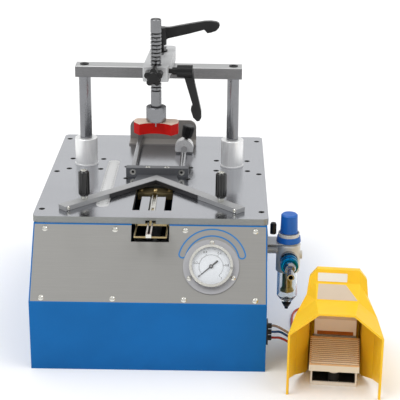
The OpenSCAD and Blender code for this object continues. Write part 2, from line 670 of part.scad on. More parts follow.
module star_knob() color([0.06, 0.06, 0.06]) on_arm() translate([0, -rod_reach, index_z]) rotate([90, 0, 0]) {
    translate([0, 0, rod_r + gap]) cylinder(r = 3, h = arm_nose + 4 - rod_r);
    translate([0, 0, arm_nose + gap]) cylinder(r1 = 6, r2 = 8, h = 14);
    translate([0, 0, arm_nose + 13.5]) linear_extrude(20) {
        circle(11);
        for (i = [0 : 4]) rotate(90 + i * 72) translate([10.4, 0]) circle(5.2);
    }
    translate([0, 0, arm_nose + 33]) cylinder(r1 = 10.5, r2 = 8, h = 2.5);
}

// ---------- fence ----------

// A wing of the fence as seen from above, on the side sx.
function along(sx, t, d) = [sx * (t + d) * sqrt(0.5), -fence_corner + (d - t) * sqrt(0.5)];
handle_t = handle_x / sqrt(0.5) - wing_w / 2;

module wing(sx) difference() {
    translate([0, 0, bar_z]) linear_extrude(wing_h) difference() {
        polygon([[0, -fence_corner], along(sx, wing_len, 0), along(sx, wing_len, wing_w), [0, -fence_corner + wing_w * sqrt(2)]]);
        translate(along(sx, handle_t, wing_w / 2)) circle(4 + fit);
    }
    translate(concat(along(sx, wing_len - 6, 0), bar_z + wing_h / 2)) rotate([0, 0, -sx * 45]) rotate([-90, 0, 0]) cylinder(r = 2 + fit, h = 8);
}
module fence_wings() color([0.75, 0.76, 0.77]) { wing(-1); wing(1); }

module face_plates() color([0.2, 0.2, 0.21]) for (sx = [-1, 1]) translate([0, 0, bar_z + 0.4]) linear_extrude(wing_h - 0.8)
    polygon([[0, -fence_corner], along(sx, 104, 0), along(sx, 104, -1.2), [0, -fence_corner - 1.2 * sqrt(2)]]);

module fence_block() color([0.33, 0.34, 0.36]) difference() {
    union() {
        translate([-block_hw, block_y, bar_z]) cube([2 * block_hw, block_d, block_h]);
        translate([0, 0, bar_z]) linear_extrude(4) polygon([[-34, block_y + 1], [34, block_y + 1], along(1, 42, wing_w),
            [0, -fence_corner + wing_w * sqrt(2)], along(-1, 42, wing_w)]);
    }
    for (sx = [-1, 1]) translate([sx * guide_x, block_y, guide_z]) rotate([-90, 0, 0]) {
        translate([0, 0, 4]) cylinder(r = guide_r + fit, h = block_d);
        translate([0, 0, -1]) cylinder(r = 5.7, h = 5.01);
    }
    for (sx = [-1, 1]) translate([sx * 16.7, block_y + block_d / 2, bar_z - 1]) cylinder(r = 2.6, h = block_h + 2);
    for (sx = [-1, 1]) translate([sx * 16.7, block_y + block_d / 2, bar_z + block_h - 5]) cylinder(r = 4.8, h = 6);
}

module guide_rods() color([0.85, 0.85, 0.86]) for (sx = [-1, 1]) translate([sx * guide_x, block_y + 4, guide_z]) rotate([-90, 0, 0])
    difference() {
        union() {
            cylinder(r = guide_r, h = guide_end - block_y - 5);
            translate([0, 0, guide_end - block_y - 5]) cylinder(r1 = guide_r, r2 = guide_r - 1, h = 1);
        }
        translate([0, 0, -1]) cylinder(r = 2.5 + fit, h = 12);
    }

// Socket screws of the block, studs and ferrules of the handles, end screws of the wings.
module fence_fasteners() color([0.8, 0.8, 0.8]) {
    for (sx = [-1, 1]) translate([sx * guide_x, block_y + 4, guide_z]) rotate([90, 0, 0]) socket_screw(5.4, 4, 2.5, 9);
    for (sx = [-1, 1]) translate([sx * 16.7, block_y + block_d / 2, bar_z + block_h - 5]) socket_screw(4.4, 4.6, 2.5, 11);
    for (sx = [-1, 1]) translate(concat(along(sx, handle_t, wing_w / 2), bar_z + 0.5)) {
        cylinder(r = 4, h = wing_h + 38);
        translate([0, 0, wing_h - 0.5]) cylinder(r1 = 5.2, r2 = 6.2, h = 6);
    }
    for (sx = [-1, 1]) translate(concat(along(sx, wing_len - 6, 0), bar_z + wing_h / 2)) rotate([0, 0, -sx * 45]) rotate([90, 0, 0])
        dome_screw(3.6, 2.4, 2, 6);
}

module handle(sx) translate(concat(along(sx, handle_t, wing_w / 2), wing_top + 6 + gap)) difference() {
    union() {
        translate([0, 0, 3]) fluted(grip_r, grip_r - 0.4, grip_h - 5, 10, 1.5);
        cylinder(r1 = grip_r - 2.5, r2 = grip_r - 1, h = 3.1);
        translate([0, 0, grip_h - 2.1]) cylinder(r1 = grip_r - 1.2, r2 = grip_r - 3, h = 2.1);
    }
    translate([0, 0, -1]) cylinder(r = 4 + fit, h = 34.6);
}
module handle_left() color([0.06, 0.06, 0.06]) handle(-1);
module handle_right() color([0.06, 0.06, 0.06]) handle(1);

thumb_tilt = 12;
module stop_collar() color([0.82, 0.82, 0.83]) translate([guide_x, collar_y, guide_z]) difference() {
    intersection() {
        rotate([90, 0, 0]) translate([0, 0, -collar_len / 2]) cylinder(r = collar_r, h = collar_len);
        translate([-30, -30, table_top + 3 + gap - guide_z]) cube([60, 60, 60]);
    }
    rotate([90, 0, 0]) translate([0, 0, -collar_len]) cylinder(r = guide_r + fit, h = 2 * collar_len);
    rotate([0, thumb_tilt, 0]) cylinder(r = 3 + fit, h = 40);
}

module thumb_screw() color([0.06, 0.06, 0.06]) translate([guide_x, collar_y, guide_z]) rotate([0, thumb_tilt, 0]) {
    translate([0, 0, guide_r + gap]) cylinder(r = 3, h = collar_r + 4);
    translate([0, 0, collar_r + 3]) cylinder(r1 = 7.5, r2 = 9, h = 3);
    translate([0, 0, collar_r + 5]) fluted(9.5, 11.6, 20, 12, 1.5);
    translate([0, 0, collar_r + 24.9]) cylinder(r1 = 10.4, r2 = 9, h = 1.5);
}

// ---------- air unit ----------

module on_reg() { translate([side + reg_x, -reg_y, reg_z]) children(); }

module regulator_bracket() color([0.75, 0.76, 0.77]) on_reg() difference() {
    union() {
        translate([-reg_x, -17, 16]) cube([3, 34, reg_h + 2.3 - 16 + 16]);
        translate([-reg_x, -17, reg_h + 0.3]) cube([reg_x + 14, 34, 2]);
        translate([-reg_x, 0, 38]) rotate([0, 90, 0]) cylinder(r = 9, h = reg_x - reg_r - 1);
    }
    translate([0, 0, reg_h - 1]) cylinder(r = 11.5, h = 5);
}

module regulator_body() color([0.9, 0.9, 0.88]) on_reg() {
    difference() {
        union() {
            cylinder(r = reg_r, h = reg_h - 3);
            translate([0, 0, reg_h - 3]) cylinder(r1 = reg_r, r2 = reg_r - 3, h = 3);
            cylinder(r = 11.2, h = reg_h + 18);
            translate([0, 0, reg_h + 17]) cylinder(r = 5, h = 18);
            translate([-reg_r - 1, 0, 38]) rotate([0, 90, 0]) cylinder(r = 9.5, h = 10);
            translate([reg_r - 6, 0, 27]) rotate([0, 90, 0]) cylinder(r = 7, h = 9);
            translate([0, 0, coup_z - reg_z]) rotate([90, 0, 0]) cylinder(r = 13, h = reg_r + 2);
        }
        translate([0, 0, -1]) cylinder(r = bowl_r - bowl_t + 0.6, h = 4);
    }
}

module regulator_ring() color([0.14, 0.35, 0.65]) on_reg() translate([0, 0, reg_h + 2.3]) difference() {
    union() {
        cylinder(r1 = reg_r + 0.5, r2 = reg_r - 1, h = 9);
        translate([0, 0, 8.9]) cylinder(r = reg_r - 4, h = 4.1);
    }
    translate([0, 0, -1]) cylinder(r = 11.2 + fit, h = 20);
}

module regulator_knob() color([0.14, 0.35, 0.65]) on_reg() translate([0, 0, reg_h + 18 + gap]) difference() {
    union() {
        cylinder(r1 = knob_r, r2 = knob_r - 0.8, h = knob_h - 2);
        translate([0, 0, knob_h - 2.1]) cylinder(r1 = knob_r - 0.8, r2 = knob_r - 2.8, h = 2.1);
    }
    for (i = [0 : 23]) rotate([0, 0, i * 15]) translate([knob_r + 0.5, 0, 4]) cylinder(r = 0.9, h = knob_h - 9, $fn = 16);
    translate([0, 0, -1]) cylinder(r = 5 + fit, h = 19);
}

module filter_bowl() color([0.85, 0.88, 0.88, 0.5]) on_reg() difference() {
    union() {
        translate([0, 0, -bowl_h + 10]) cylinder(r = bowl_r, h = bowl_h - 10);
        translate([0, 0, -bowl_h]) cylinder(r1 = bowl_r - 7, r2 = bowl_r, h = 10.01);
    }
    translate([0, 0, -bowl_h + 10]) cylinder(r = bowl_r - bowl_t, h = bowl_h);
    translate([0, 0, -bowl_h + 3]) cylinder(r1 = bowl_r - bowl_t - 6, r2 = bowl_r - bowl_t, h = 7.01);
    translate([0, 0, -bowl_h - 1]) cylinder(r = 3 + fit, h = 9);
}

module filter_element() color([0.72, 0.6, 0.3]) on_reg() {
    translate([0, 0, -32]) cylinder(r = 8.5, h = 35);
    translate([0, 0, -38]) cylinder(r1 = 12, r2 = 9, h = 6.1);
    translate([0, 0, -43]) cylinder(r = 3, h = 5.1);
}

module drain_valve() color([0.1, 0.1, 0.1]) on_reg() translate([0, 0, -bowl_h]) {
    translate([0, 0, -5.3]) cylinder(r = 3, h = 10);
    translate([0, 0, -5.3]) cylinder(r = 8, h = 5);
    translate([0, 0, -12.3]) cylinder(r1 = 4, r2 = 8, h = 7.01);
    translate([0, 0, -16]) cylinder(r = 3, h = 4);
}

module on_coupling() { translate([side + reg_x, -reg_y, coup_z]) rotate([90, 0, 0]) children(); }

module coupling_body() color([0.8, 0.8, 0.82]) on_coupling() translate([0, 0, reg_r + 2]) difference() {
    union() {
        cylinder(r = 15, h = 8);
        cylinder(r = 10, h = 38);
        translate([0, 0, 38]) cylinder(r1 = 10, r2 = 8, h = 6);
        translate([0, 0, 43.9]) cylinder(r = 7.5, h = 6.1, $fn = 6);
        translate([0, 0, 44]) cylinder(r = 5.5, h = 30);
    }
    translate([0, 0, 20]) cylinder(r = 3.5, h = 60);
}

module coupling_sleeve() color([0.05, 0.5, 0.75]) on_coupling() translate([0, 0, reg_r + 13]) difference() {
    union() {
        cylinder(r = 13, h = 20);
        translate([0, 0, 2]) cylinder(r = 14.5, h = 5);
        translate([0, 0, 13]) cylinder(r = 14.5, h = 5);
    }
    translate([0, 0, -1]) cylinder(r = 10 + fit, h = 24);
}

// ---------- hoses ----------

bulk_y = -220;
bulk_z = [63.6, 52.8, 42.4];
bulk_end = side + 10;
module hose_bulkhead() color([0.2, 0.2, 0.21]) {
    difference() {
        union() {
            translate([cab_w / 2, bulk_y - 12, 35]) cube([4, 24, 36]);
            for (z = bulk_z) translate([cab_w / 2, bulk_y, z]) rotate([0, 90, 0]) cylinder(r = 4.4, h = 10);
        }
        for (z = bulk_z) translate([cab_w / 2 + 7.5, bulk_y, z]) rotate([0, 90, 0]) cylinder(r = 3, h = 10);
    }
    for (z = bulk_z) translate([cab_w / 2 + 7.5, bulk_y, z]) rotate([0, 90, 0]) cylinder(r = hose_d / 2, h = 2.5);
}

// The pedal's valve has its three ports at the back.
port_x = [11, 0, -11];
port_y = 142;
port_z = 30;
hose_r = hose_d / 2;
lie = hose_r + 0.3;

// A hose's spare length is wound round: two loops in, two out, twice, each pass a layer higher.
coil_r = 22.2;
coil_step = 4.8;
layer_h = 4.6;
coil_turns = 7.75;
coil_at = [for (p = [[152, -98], [143, -46], [134, 6]]) [side + p[0], p[1]]];
function saw(t) = let (u = t % 4) u < 2 ? u : 4 - u;
function coil_rad(t) = coil_r - coil_step * saw(t);
function rise(t) = let (k = round(t / 2), f = t - 2 * k)
    layer_h * (k == 0 ? 0 : k - 1 + (f < -0.25 ? 0 : f > 0.25 ? 1 : (f + 0.25) * 2));
function coil_z(t) = let (k = round(t / 2)) k == 0 ? 0 : abs(t - 2 * k) < 0.25 ? rise(t) : layer_h * floor(t / 2);
function coil_path(c) = let (a0 = 270) concat([[c[0] - 4, c[1] - coil_r, lie]],
    [for (i = [0 : 24 * coil_turns]) let (t = i / 24) [c[0] + coil_rad(t) * cos(a0 + 360 * t),
        c[1] + coil_rad(t) * sin(a0 + 360 * t), lie + coil_z(t)]],
    [[c[0] - coil_rad(coil_turns), c[1] - 4, lie + coil_z(coil_turns)]]);
function least_gap(p, skip) = min([for (i = [0 : len(p) - 1]) for (j = [i + skip : 1 : len(p) - 1]) norm(p[i] - p[j])]) - hose_d;
echo(coil_least_gap = least_gap(coil_path(coil_at[0]), 8));

// Points of the hoses, out from the cabinet's side.
start_pts = [
    [[26, -222, 59.5], [51, -212, 38], [60, -190, 17], [64, -165, 4], [68, -142, lie],
        [84, -126, lie], [138, -120.2, lie]],
    [[26, -219, 51.5], [48, -207, 31], [54, -185, 12], [57, -160, 3], [58, -125, lie],
        [62, -95, lie], [78, -73, lie], [129, -68.2, lie]],
    [[26, -220, 41.5], [44, -205, 24], [48, -180, 8], [50, -150, lie],
        [52, -65, lie], [62, -30, lie], [86, -16.5, lie], [120, -16.2, lie]]];
end_pts = [
    [[131, -112, 17], [131, -124, 21]],
    [[122, -62, 14], [122, -84, 11], [121, -110, 15], [119.8, -135, 26]],
    [[113, -14, 12], [113, -40, 8], [112, -75, 8], [110.5, -105, 12], [108.5, -132, 24]]];
function hose_in(k) = concat([[bulk_end, bulk_y, bulk_z[k]], [bulk_end + 5, bulk_y, bulk_z[k]]],
    [for (p = curve(start_pts[k], 2)) [side + p[0], p[1], max(lie, p[2])]], [[coil_at[k][0] - 8, coil_at[k][1] - coil_r, lie], [coil_at[k][0] - 4, coil_at[k][1] - coil_r, lie]]);
function hose_out(k) = let (x = coil_at[k][0] - coil_rad(coil_turns), z = lie + coil_z(coil_turns))
    concat([[x, coil_at[k][1] - 4, z], [x, coil_at[k][1] - 8, z]], [for (p = curve(end_pts[k], 1)) [side + p[0], p[1], p[2]]],
        [ped([port_x[k], port_y + 10, port_z]), ped([port_x[k], port_y + 5, port_z]), ped([port_x[k], port_y, port_z])]);
module hose(k) { sweep(hose_in(k), hose_r, 8); sweep(hose_out(k), hose_r, 8); }
module hose_clear() color([0.75, 0.68, 0.6]) hose(0);
module hose_blue() color([0.1, 0.25, 0.5]) hose(1);
module hose_red() color([0.75, 0.12, 0.08]) hose(2);
module coil_clear() color([0.75, 0.68, 0.6]) sweep(coil_path(coil_at[0]), hose_r, 6);
module coil_blue() color([0.1, 0.25, 0.5]) sweep(coil_path(coil_at[1]), hose_r, 6);
module coil_red() color([0.75, 0.12, 0.08]) sweep(coil_path(coil_at[2]), hose_r, 6);

// ---------- pedal ----------

pivot_y = 67;
pivot_z = 42;
pin_r = 3;
skirt_t = 2.7;
skirt_in = pbase_hw + gap;
skirt_out = skirt_in + skirt_t;
tread_y0 = -6;
tread_z0 = 38.1;
tread_slope = 14.8;

module pedal_base() color([0.82, 0.78, 0.7]) on_pedal() {
    difference() {
        union() {
            translate([-pbase_hw, 0, 0]) cube([2 * pbase_hw, 140, 3]);
            translate([-pbase_hw - 3, 95, 0]) cube([2 * pbase_hw + 6, 45, 3]);
            yz(2.5, -pbase_hw) polygon([[0, 0], [0, 5], [0, pbase_h], [40, pbase_h + 6], [pivot_y - 9, pivot_z + 5],
                [pivot_y - 5, pivot_z + 8], [pivot_y + 5, pivot_z + 8], [pivot_y + 9, pivot_z + 5], [140, 20], [140, 0]]);
            yz(2.5, pbase_hw - 2.5) polygon([[0, 0], [0, 5], [0, pbase_h], [40, pbase_h + 6], [pivot_y - 9, pivot_z + 5],
                [pivot_y - 5, pivot_z + 8], [pivot_y + 5, pivot_z + 8], [pivot_y + 9, pivot_z + 5], [140, 20], [140, 0]]);
            translate([-pbase_hw, 0, 0]) cube([2 * pbase_hw, 3, 6]);
            translate([0, 12, 2]) cylinder(r = 9, h = 5);
            translate([0, 12, 2]) cylinder(r = 6.5, h = 24);
        }
        translate([-pbase_hw - 1, pivot_y, pivot_z]) rotate([0, 90, 0]) cylinder(r = pin_r, h = 2 * pbase_hw + 2);
    }
    translate([-skirt_out - 0.4, pivot_y, pivot_z]) rotate([0, 90, 0]) cylinder(r = pin_r - fit, h = 2 * skirt_out + 0.8);
}

module treadle() color([0.85, 0.72, 0.55]) on_pedal() {
    dy = cos(tread_slope);
    dz = sin(tread_slope);
    len_t = 68;
    difference() {
        union() {
            // sloped plate with its front lip
            yz(2 * skirt_out, -skirt_out) polygon([[tread_y0, 27.5], [tread_y0, tread_z0],
                [tread_y0 + len_t * dy, tread_z0 + len_t * dz], [tread_y0 + len_t * dy + 0.8, tread_z0 + len_t * dz - 3],
                [tread_y0 + 3.5, tread_z0 - 2.4], [tread_y0 + 3, 27.5]]);
            for (x = [-skirt_out, skirt_in]) yz(skirt_t, x) polygon([[tread_y0, 27.5], [tread_y0, tread_z0],
                [tread_y0 + len_t * dy, tread_z0 + len_t * dz], [pivot_y + 7, pivot_z + 4], [pivot_y + 6, pivot_z - 6],
                [pivot_y - 6, pivot_z - 7], [30, 33], [tread_y0 + 12, 27.5]]);
            // grip ribs
            for (i = [0 : 12]) translate([0, tread_y0 + 6 * dy + i * 4.6 * dy, tread_z0 + 6 * dz + i * 4.6 * dz])
                rotate([tread_slope, 0, 0]) translate([-skirt_out + 3, -1, -0.5]) cube([2 * skirt_out - 6, 2, 1.9]);
        }
        translate([-skirt_out - 1, pivot_y, pivot_z]) rotate([0, 90, 0]) cylinder(r = pin_r, h = 2 * skirt_out + 2);
    }
}

module pedal_valve() color([0.86, 0.8, 0.7]) on_pedal() difference() {
    union() {
        yz(2 * pbase_hw - 5.6, -pbase_hw + 2.8) polygon([[76, 3], [76, 50], [64.5, 57], [64.5, 84], [68, 88], [96, 88], [136, 58], [136, 3]]);
        for (x = port_x) translate([x, 134, port_z]) rotate([-90, 0, 0]) cylinder(r = 4.4, h = port_y - 134);
    }
    translate([-60, pivot_y, pivot_z]) rotate([0, 90, 0]) cylinder(r = pin_r + 1, h = 120);
}

// One cross section of the guard: y, half width, shoulder height, half width of the top, height.
function guard_sec(s, g) = let (y = s[0], w = s[1] - g, h1 = s[2] - g * 0.6, t = s[3] - g * 0.6, h2 = s[4] - g)
    [[-w, y, -g], [-w, y, h1], [-t, y, h2], [t, y, h2], [w, y, h1], [w, y, -g]];
guard_secs = [[-37, mouth_hw, mouth_h - 37, 28, mouth_h], [10, mouth_hw - 10, mouth_h - 24, 33, mouth_h + 1],
    [36, 48, mouth_h - 1, 34, mouth_h + 20], [44, 45, mouth_h + 25, 33, mouth_h + 39],
    [54, 44, mouth_h + 25, 33, mouth_h + 39], [150, 43, mouth_h - 58, 33, mouth_h - 42]];
module pedal_guard() color([0.98, 0.78, 0.15]) on_pedal() difference() {
    skin([for (s = guard_secs) guard_sec(s, 0)]);
    skin([for (i = [0 : len(guard_secs) - 1]) let (s = guard_secs[i])
        guard_sec(concat([s[0] + (i == 0 ? -1 : i == 5 ? -guard_t : i == 2 || i == 3 ? guard_t : 0)], [for (j = [1 : 4]) s[j]]), guard_t)]);
    // the walls rise clear of the floor behind the front legs
    yz(220, -110) polygon([[-32, -1], [-32, 26], [38, 0.5], [38, -1]]);
    // way for the hoses at the back
    translate([-26, 140, -1]) cube([52, 20, 48]);
}

cabinet_shell();
base_plate();
front_panel();
panel_screws();
table_plate();
table_screws();
scale_strip();
post_sleeves();
clamp_cylinders();
drive_cylinder();
magazine_bed();
magazine_rail();
guide_head();
rear_bracket();
gauge_case();
gauge_glass();
gauge_needle();
magazine_pusher();
driver_blade();
post_left();
post_right();
cross_beam();
beam_screws();
slot_block();
press_arm();
arm_lever();
notched_rod();
pad_holder();
press_pad();
rod_lever();
star_knob();
fence_block();
guide_rods();
fence_wings();
face_plates();
fence_fasteners();
handle_left();
handle_right();
stop_collar();
thumb_screw();
regulator_bracket();
regulator_body();
regulator_ring();
regulator_knob();
filter_bowl();
filter_element();
drain_valve();
coupling_body();
coupling_sleeve();
hose_bulkhead();
pedal_base();
pedal_guard();
pedal_valve();
treadle();
hose_clear();
hose_blue();
hose_red();
coil_clear();
coil_blue();
coil_red();
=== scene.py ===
"""Dresses the CAD model of a bench underpinner for picture frames, with its air unit and foot pedal.

Run by Blender as a script. Everything is in metres in the CAD model's own frame.
"""

import json
import math

import bpy
from bpy.props import FloatProperty, FloatVectorProperty, PointerProperty
from mathutils import Matrix, Vector


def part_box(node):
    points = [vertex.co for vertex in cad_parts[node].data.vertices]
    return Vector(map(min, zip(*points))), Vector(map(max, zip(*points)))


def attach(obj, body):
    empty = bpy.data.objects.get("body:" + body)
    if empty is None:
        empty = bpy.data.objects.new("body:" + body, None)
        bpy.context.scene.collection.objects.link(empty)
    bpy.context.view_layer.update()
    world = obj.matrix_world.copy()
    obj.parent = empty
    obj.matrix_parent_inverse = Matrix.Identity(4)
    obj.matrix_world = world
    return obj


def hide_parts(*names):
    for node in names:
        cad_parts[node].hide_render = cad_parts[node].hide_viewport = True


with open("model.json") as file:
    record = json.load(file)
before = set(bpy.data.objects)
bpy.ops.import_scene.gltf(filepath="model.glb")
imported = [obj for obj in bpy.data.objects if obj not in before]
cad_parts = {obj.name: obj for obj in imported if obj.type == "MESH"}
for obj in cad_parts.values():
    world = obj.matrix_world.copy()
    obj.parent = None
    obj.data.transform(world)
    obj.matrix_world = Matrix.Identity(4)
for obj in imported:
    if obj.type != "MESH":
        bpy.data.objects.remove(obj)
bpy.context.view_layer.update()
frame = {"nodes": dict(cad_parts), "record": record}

bl_info = {
    "name": "Bench underpinner",
    "version": (1, 0, 0),
    "blender": (4, 5, 0),
    "location": "3D View > Sidebar > Underpinner",
    "description": "Finishes and small parts of a pneumatic picture frame underpinner",
    "category": "Object",
}

MM = 0.001
NODES = frame["nodes"]
BODY_OF = {node: body for body, nodes in frame["record"]["behaviour"]["bodies"].items() for node in nodes}

# Places that the small parts and their patterns need, as the CAD model has them.
# cabinet: top edge and tilt of the sloped panel, and the gauge's middle on it
SLOPE_TOP = (0.0, -0.177, 0.220)
SLOPE_ANGLE = math.atan2(103, 81)
GAUGE_AT = (98.7 * MM, -69.3 * MM)
# air unit: upright axis of the regulator, underside of its lock ring, and the bracket's plug
REGULATOR_AT = (0.226, -0.126)
LOCK_RING_Z = 0.1840
PLUG_AT = (0.1995, -0.135, 0.1990)
# pedal: front edge and turn, its spring, the treadle's slope and ribs
PEDAL_AT = (0.294, -0.3005, 0.0)
PEDAL_TURN = math.radians(-5)
SPRING_AT = (0.0, 0.012)
TREADLE_SLOPE, TREADLE_START = math.radians(14.8), (0.0, -0.006, 0.0381)
RIB_PITCH, RIB_FIRST = 0.0046, 0.0037
# press head: posts, top of the beam, axis and land of the notched rod, upper layer of the pad
POST_X, POST_Y, BEAM_TOP = 0.131, 0.092, 0.415
ROD_TURN = Matrix.Rotation(math.radians(-2.5), 3, "Z")
ROD_AT = Vector((0.005, 0.092, 0.0)) + ROD_TURN @ Vector((0.0, -0.102, 0.0))
ROD_LAND = 0.0085
PAD_LAYER = 0.3418
# table and fence: the scale strip, and socket floors of the block's right front and right top screw
STRIP_X, STRIP_MIDDLE, STRIP_HALF = -0.0825, -0.0095, 0.108
SCREW_FRONT, SCREW_TOP = (0.0425, 0.0222, 0.2405), (0.0167, 0.027, 0.2447)

SLOPE = Matrix.Translation(SLOPE_TOP) @ Matrix.Rotation(SLOPE_ANGLE, 4, "X")
GAUGE = SLOPE @ Matrix.Translation((GAUGE_AT[0], GAUGE_AT[1], 0.0))
PEDAL = Matrix.Translation(PEDAL_AT) @ Matrix.Rotation(PEDAL_TURN, 4, "Z")


def tint(red, green, blue):
    """A colour as seen on screen, 0 to 255, as Blender's linear values."""
    return tuple(
        ((c / 255 + 0.055) / 1.055) ** 2.4 if c > 10 else c / 255 / 12.92
        for c in (red, green, blue)
    )


# ---------- what a user may change ----------


def colour(name, text, *values):
    return FloatVectorProperty(
        name=name, description=text, subtype="COLOR", size=3, min=0.0, max=1.0, default=tint(*values)
    )


class UnderpinnerColours(bpy.types.PropertyGroup):
    cabinet: colour("Cabinet", "Enamel of the cabinet", 12, 103, 172)
    panel: colour("Front panel", "Brushed steel of the sloped panel", 148, 147, 144)
    table: colour("Table", "Ground steel of the table", 184, 186, 191)
    print_blue: colour("Print", "Blue lines printed on the panel", 40, 118, 182)
    arm: colour("Press arm", "Bead-blasted aluminium of the arm", 198, 199, 200)
    pad: colour("Pressure pad", "Rubber of the pad", 186, 8, 0)
    guard: colour("Pedal guard", "Moulded plastic of the guard", 255, 200, 36)
    pedal: colour("Pedal", "Enamel of the pedal's base and valve", 240, 226, 208)
    treadle: colour("Treadle", "Rubber of the treadle", 246, 212, 170)
    regulator: colour("Regulator", "Blue plastic of the regulator", 30, 100, 186)
    coupling: colour("Coupling", "Anodised sleeve of the quick coupling", 10, 132, 186)
    hose_clear: colour("Clear hose", "The first air hose", 176, 152, 136)
    hose_blue: colour("Blue hose", "The second air hose", 20, 74, 140)
    hose_red: colour("Red hose", "The third air hose", 190, 56, 40)


class UnderpinnerSizes(bpy.types.PropertyGroup):
    hose_diameter: FloatProperty(
        name="Hose diameter", description="Outer diameter of the three air hoses",
        default=0.004, min=0.003, max=0.004, unit="LENGTH",
    )
    line_width: FloatProperty(
        name="Print line", description="Width of the blue line round the blank band",
        default=0.0022, min=0.001, max=0.003, unit="LENGTH",
    )
    band_width: FloatProperty(
        name="Band width", description="Width of the blank band over the gauge",
        default=0.0133, min=0.01, max=0.014, unit="LENGTH",
    )
    band_radius: FloatProperty(
        name="Band radius", description="Radius of the band's middle line",
        default=0.04895, min=0.047, max=0.051, unit="LENGTH",
    )
    dial_radius: FloatProperty(
        name="Dial radius", description="Radius of the gauge's dial",
        default=0.0316, min=0.03, max=0.0318, unit="LENGTH",
    )
    edge_round: FloatProperty(
        name="Edge rounding", description="Share of each edge's usual rounding",
        default=1.0, min=0.3, max=1.5, subtype="FACTOR",
    )


class UnderpinnerStage(bpy.types.PropertyGroup):
    world: FloatProperty(
        name="Sky overhead", description="Strength of the soft light from above",
        default=0.78, min=0.0, max=2.0,
    )
    horizon: FloatProperty(
        name="Sky at the horizon", description="Strength of the soft light from the front and sides",
        default=0.5, min=0.0, max=2.0,
    )
    behind: FloatProperty(
        name="Backdrop light", description="Extra light from the backdrop behind the object",
        default=0.3, min=0.0, max=2.0,
    )
    key: FloatProperty(
        name="Main lamp", description="Strength of the large soft lamp on the left",
        default=1.05, min=0.0, max=10.0,
    )
    fill: FloatProperty(
        name="Second lamp", description="Strength of the soft lamp on the right",
        default=0.55, min=0.0, max=10.0,
    )
    floor_size: FloatProperty(
        name="Floor", description="Width of the pale floor",
        default=14.0, min=6.0, max=30.0, unit="LENGTH",
    )


# ---------- materials ----------


def node(tree, kind, values=None, **props):
    """A node with its properties and unlinked values set; a value that is a socket is linked."""
    made = tree.nodes.new(kind)
    for key, value in props.items():
        setattr(made, key, value)
    for key, value in (values or {}).items():
        if isinstance(value, bpy.types.NodeSocket):
            tree.links.new(value, made.inputs[key])
        else:
            made.inputs[key].default_value = value
    return made


FINISHES = {}


def material(name, base, metallic=0.0, rough=0.5, **sockets):
    """A Principled material. Returns it with its tree, its shader and the Object coordinates."""
    made = FINISHES[name] = bpy.data.materials.new(name + "_finish")
    made.use_nodes = True
    made.diffuse_color = (*base[:3], 1.0)
    tree = made.node_tree
    shader = tree.nodes["Principled BSDF"]
    shader.inputs["Base Color"].default_value = (*base[:3], 1.0)
    shader.inputs["Metallic"].default_value = metallic
    shader.inputs["Roughness"].default_value = rough
    for key, value in sockets.items():
        shader.inputs[key.replace("_", " ")].default_value = value
    place = tree.nodes.new("ShaderNodeTexCoord").outputs["Object"]
    return made, tree, shader, place


def feed(shader, name, value):
    """Links a value to the shader's input of that name."""
    shader.id_data.links.new(value, shader.inputs[name])


def stretched(tree, place, scale, turn=(0.0, 0.0, 0.0), move=(0.0, 0.0, 0.0)):
    values = {"Vector": place, "Scale": scale, "Rotation": turn, "Location": move}
    return node(tree, "ShaderNodeMapping", values).outputs[0]


def noise(tree, place, scale, detail=2.0, rough=0.5):
    values = {"Vector": place, "Scale": scale, "Detail": detail, "Roughness": rough}
    return node(tree, "ShaderNodeTexNoise", values).outputs["Fac"]


def spread(tree, value, low, high, start=0.0, end=1.0):
    """Value from start to end becomes low to high."""
    values = {"Value": value, "From Min": start, "From Max": end, "To Min": low, "To Max": high}
    return node(tree, "ShaderNodeMapRange", values).outputs[0]


def clouds(tree, place, scale, detail, start, end):
    """Noise whose values from start to end are spread over 0 to 1."""
    return spread(tree, noise(tree, place, scale, detail), 0.0, 1.0, start, end)


def sums(tree, operation, a, b=0.0, c=0.0):
    made = tree.nodes.new("ShaderNodeMath")
    made.operation = operation
    for i, value in enumerate((a, b, c)):
        if isinstance(value, bpy.types.NodeSocket):
            tree.links.new(value, made.inputs[i])
        else:
            made.inputs[i].default_value = value
    return made.outputs[0]


def blended(tree, share, a, b, kind="MIX"):
    """Colour a turned to colour b by share."""
    made = node(tree, "ShaderNodeMix", data_type="RGBA", blend_type=kind)
    for key, value in (("Factor", share), ("A", a), ("B", b)):
        wanted = "VALUE" if key == "Factor" else "RGBA"
        slot = [s for s in made.inputs if s.name == key and s.type == wanted][0]
        if isinstance(value, bpy.types.NodeSocket):
            tree.links.new(value, slot)
        else:
            slot.default_value = value if key == "Factor" else (*value[:3], 1.0)
    return [s for s in made.outputs if s.type == "RGBA"][0]


def relief(tree, shader, height, strength, distance):
    made = node(tree, "ShaderNodeBump", {"Height": height, "Strength": strength, "Distance": distance})
    feed(shader, "Normal", made.outputs[0])
    return made


def shade(base, factor):
    return tuple(min(1.0, c * factor) for c in base[:3])


def axis_of(tree, place, axis):
    return node(tree, "ShaderNodeSeparateXYZ", {"Vector": place}).outputs[axis]


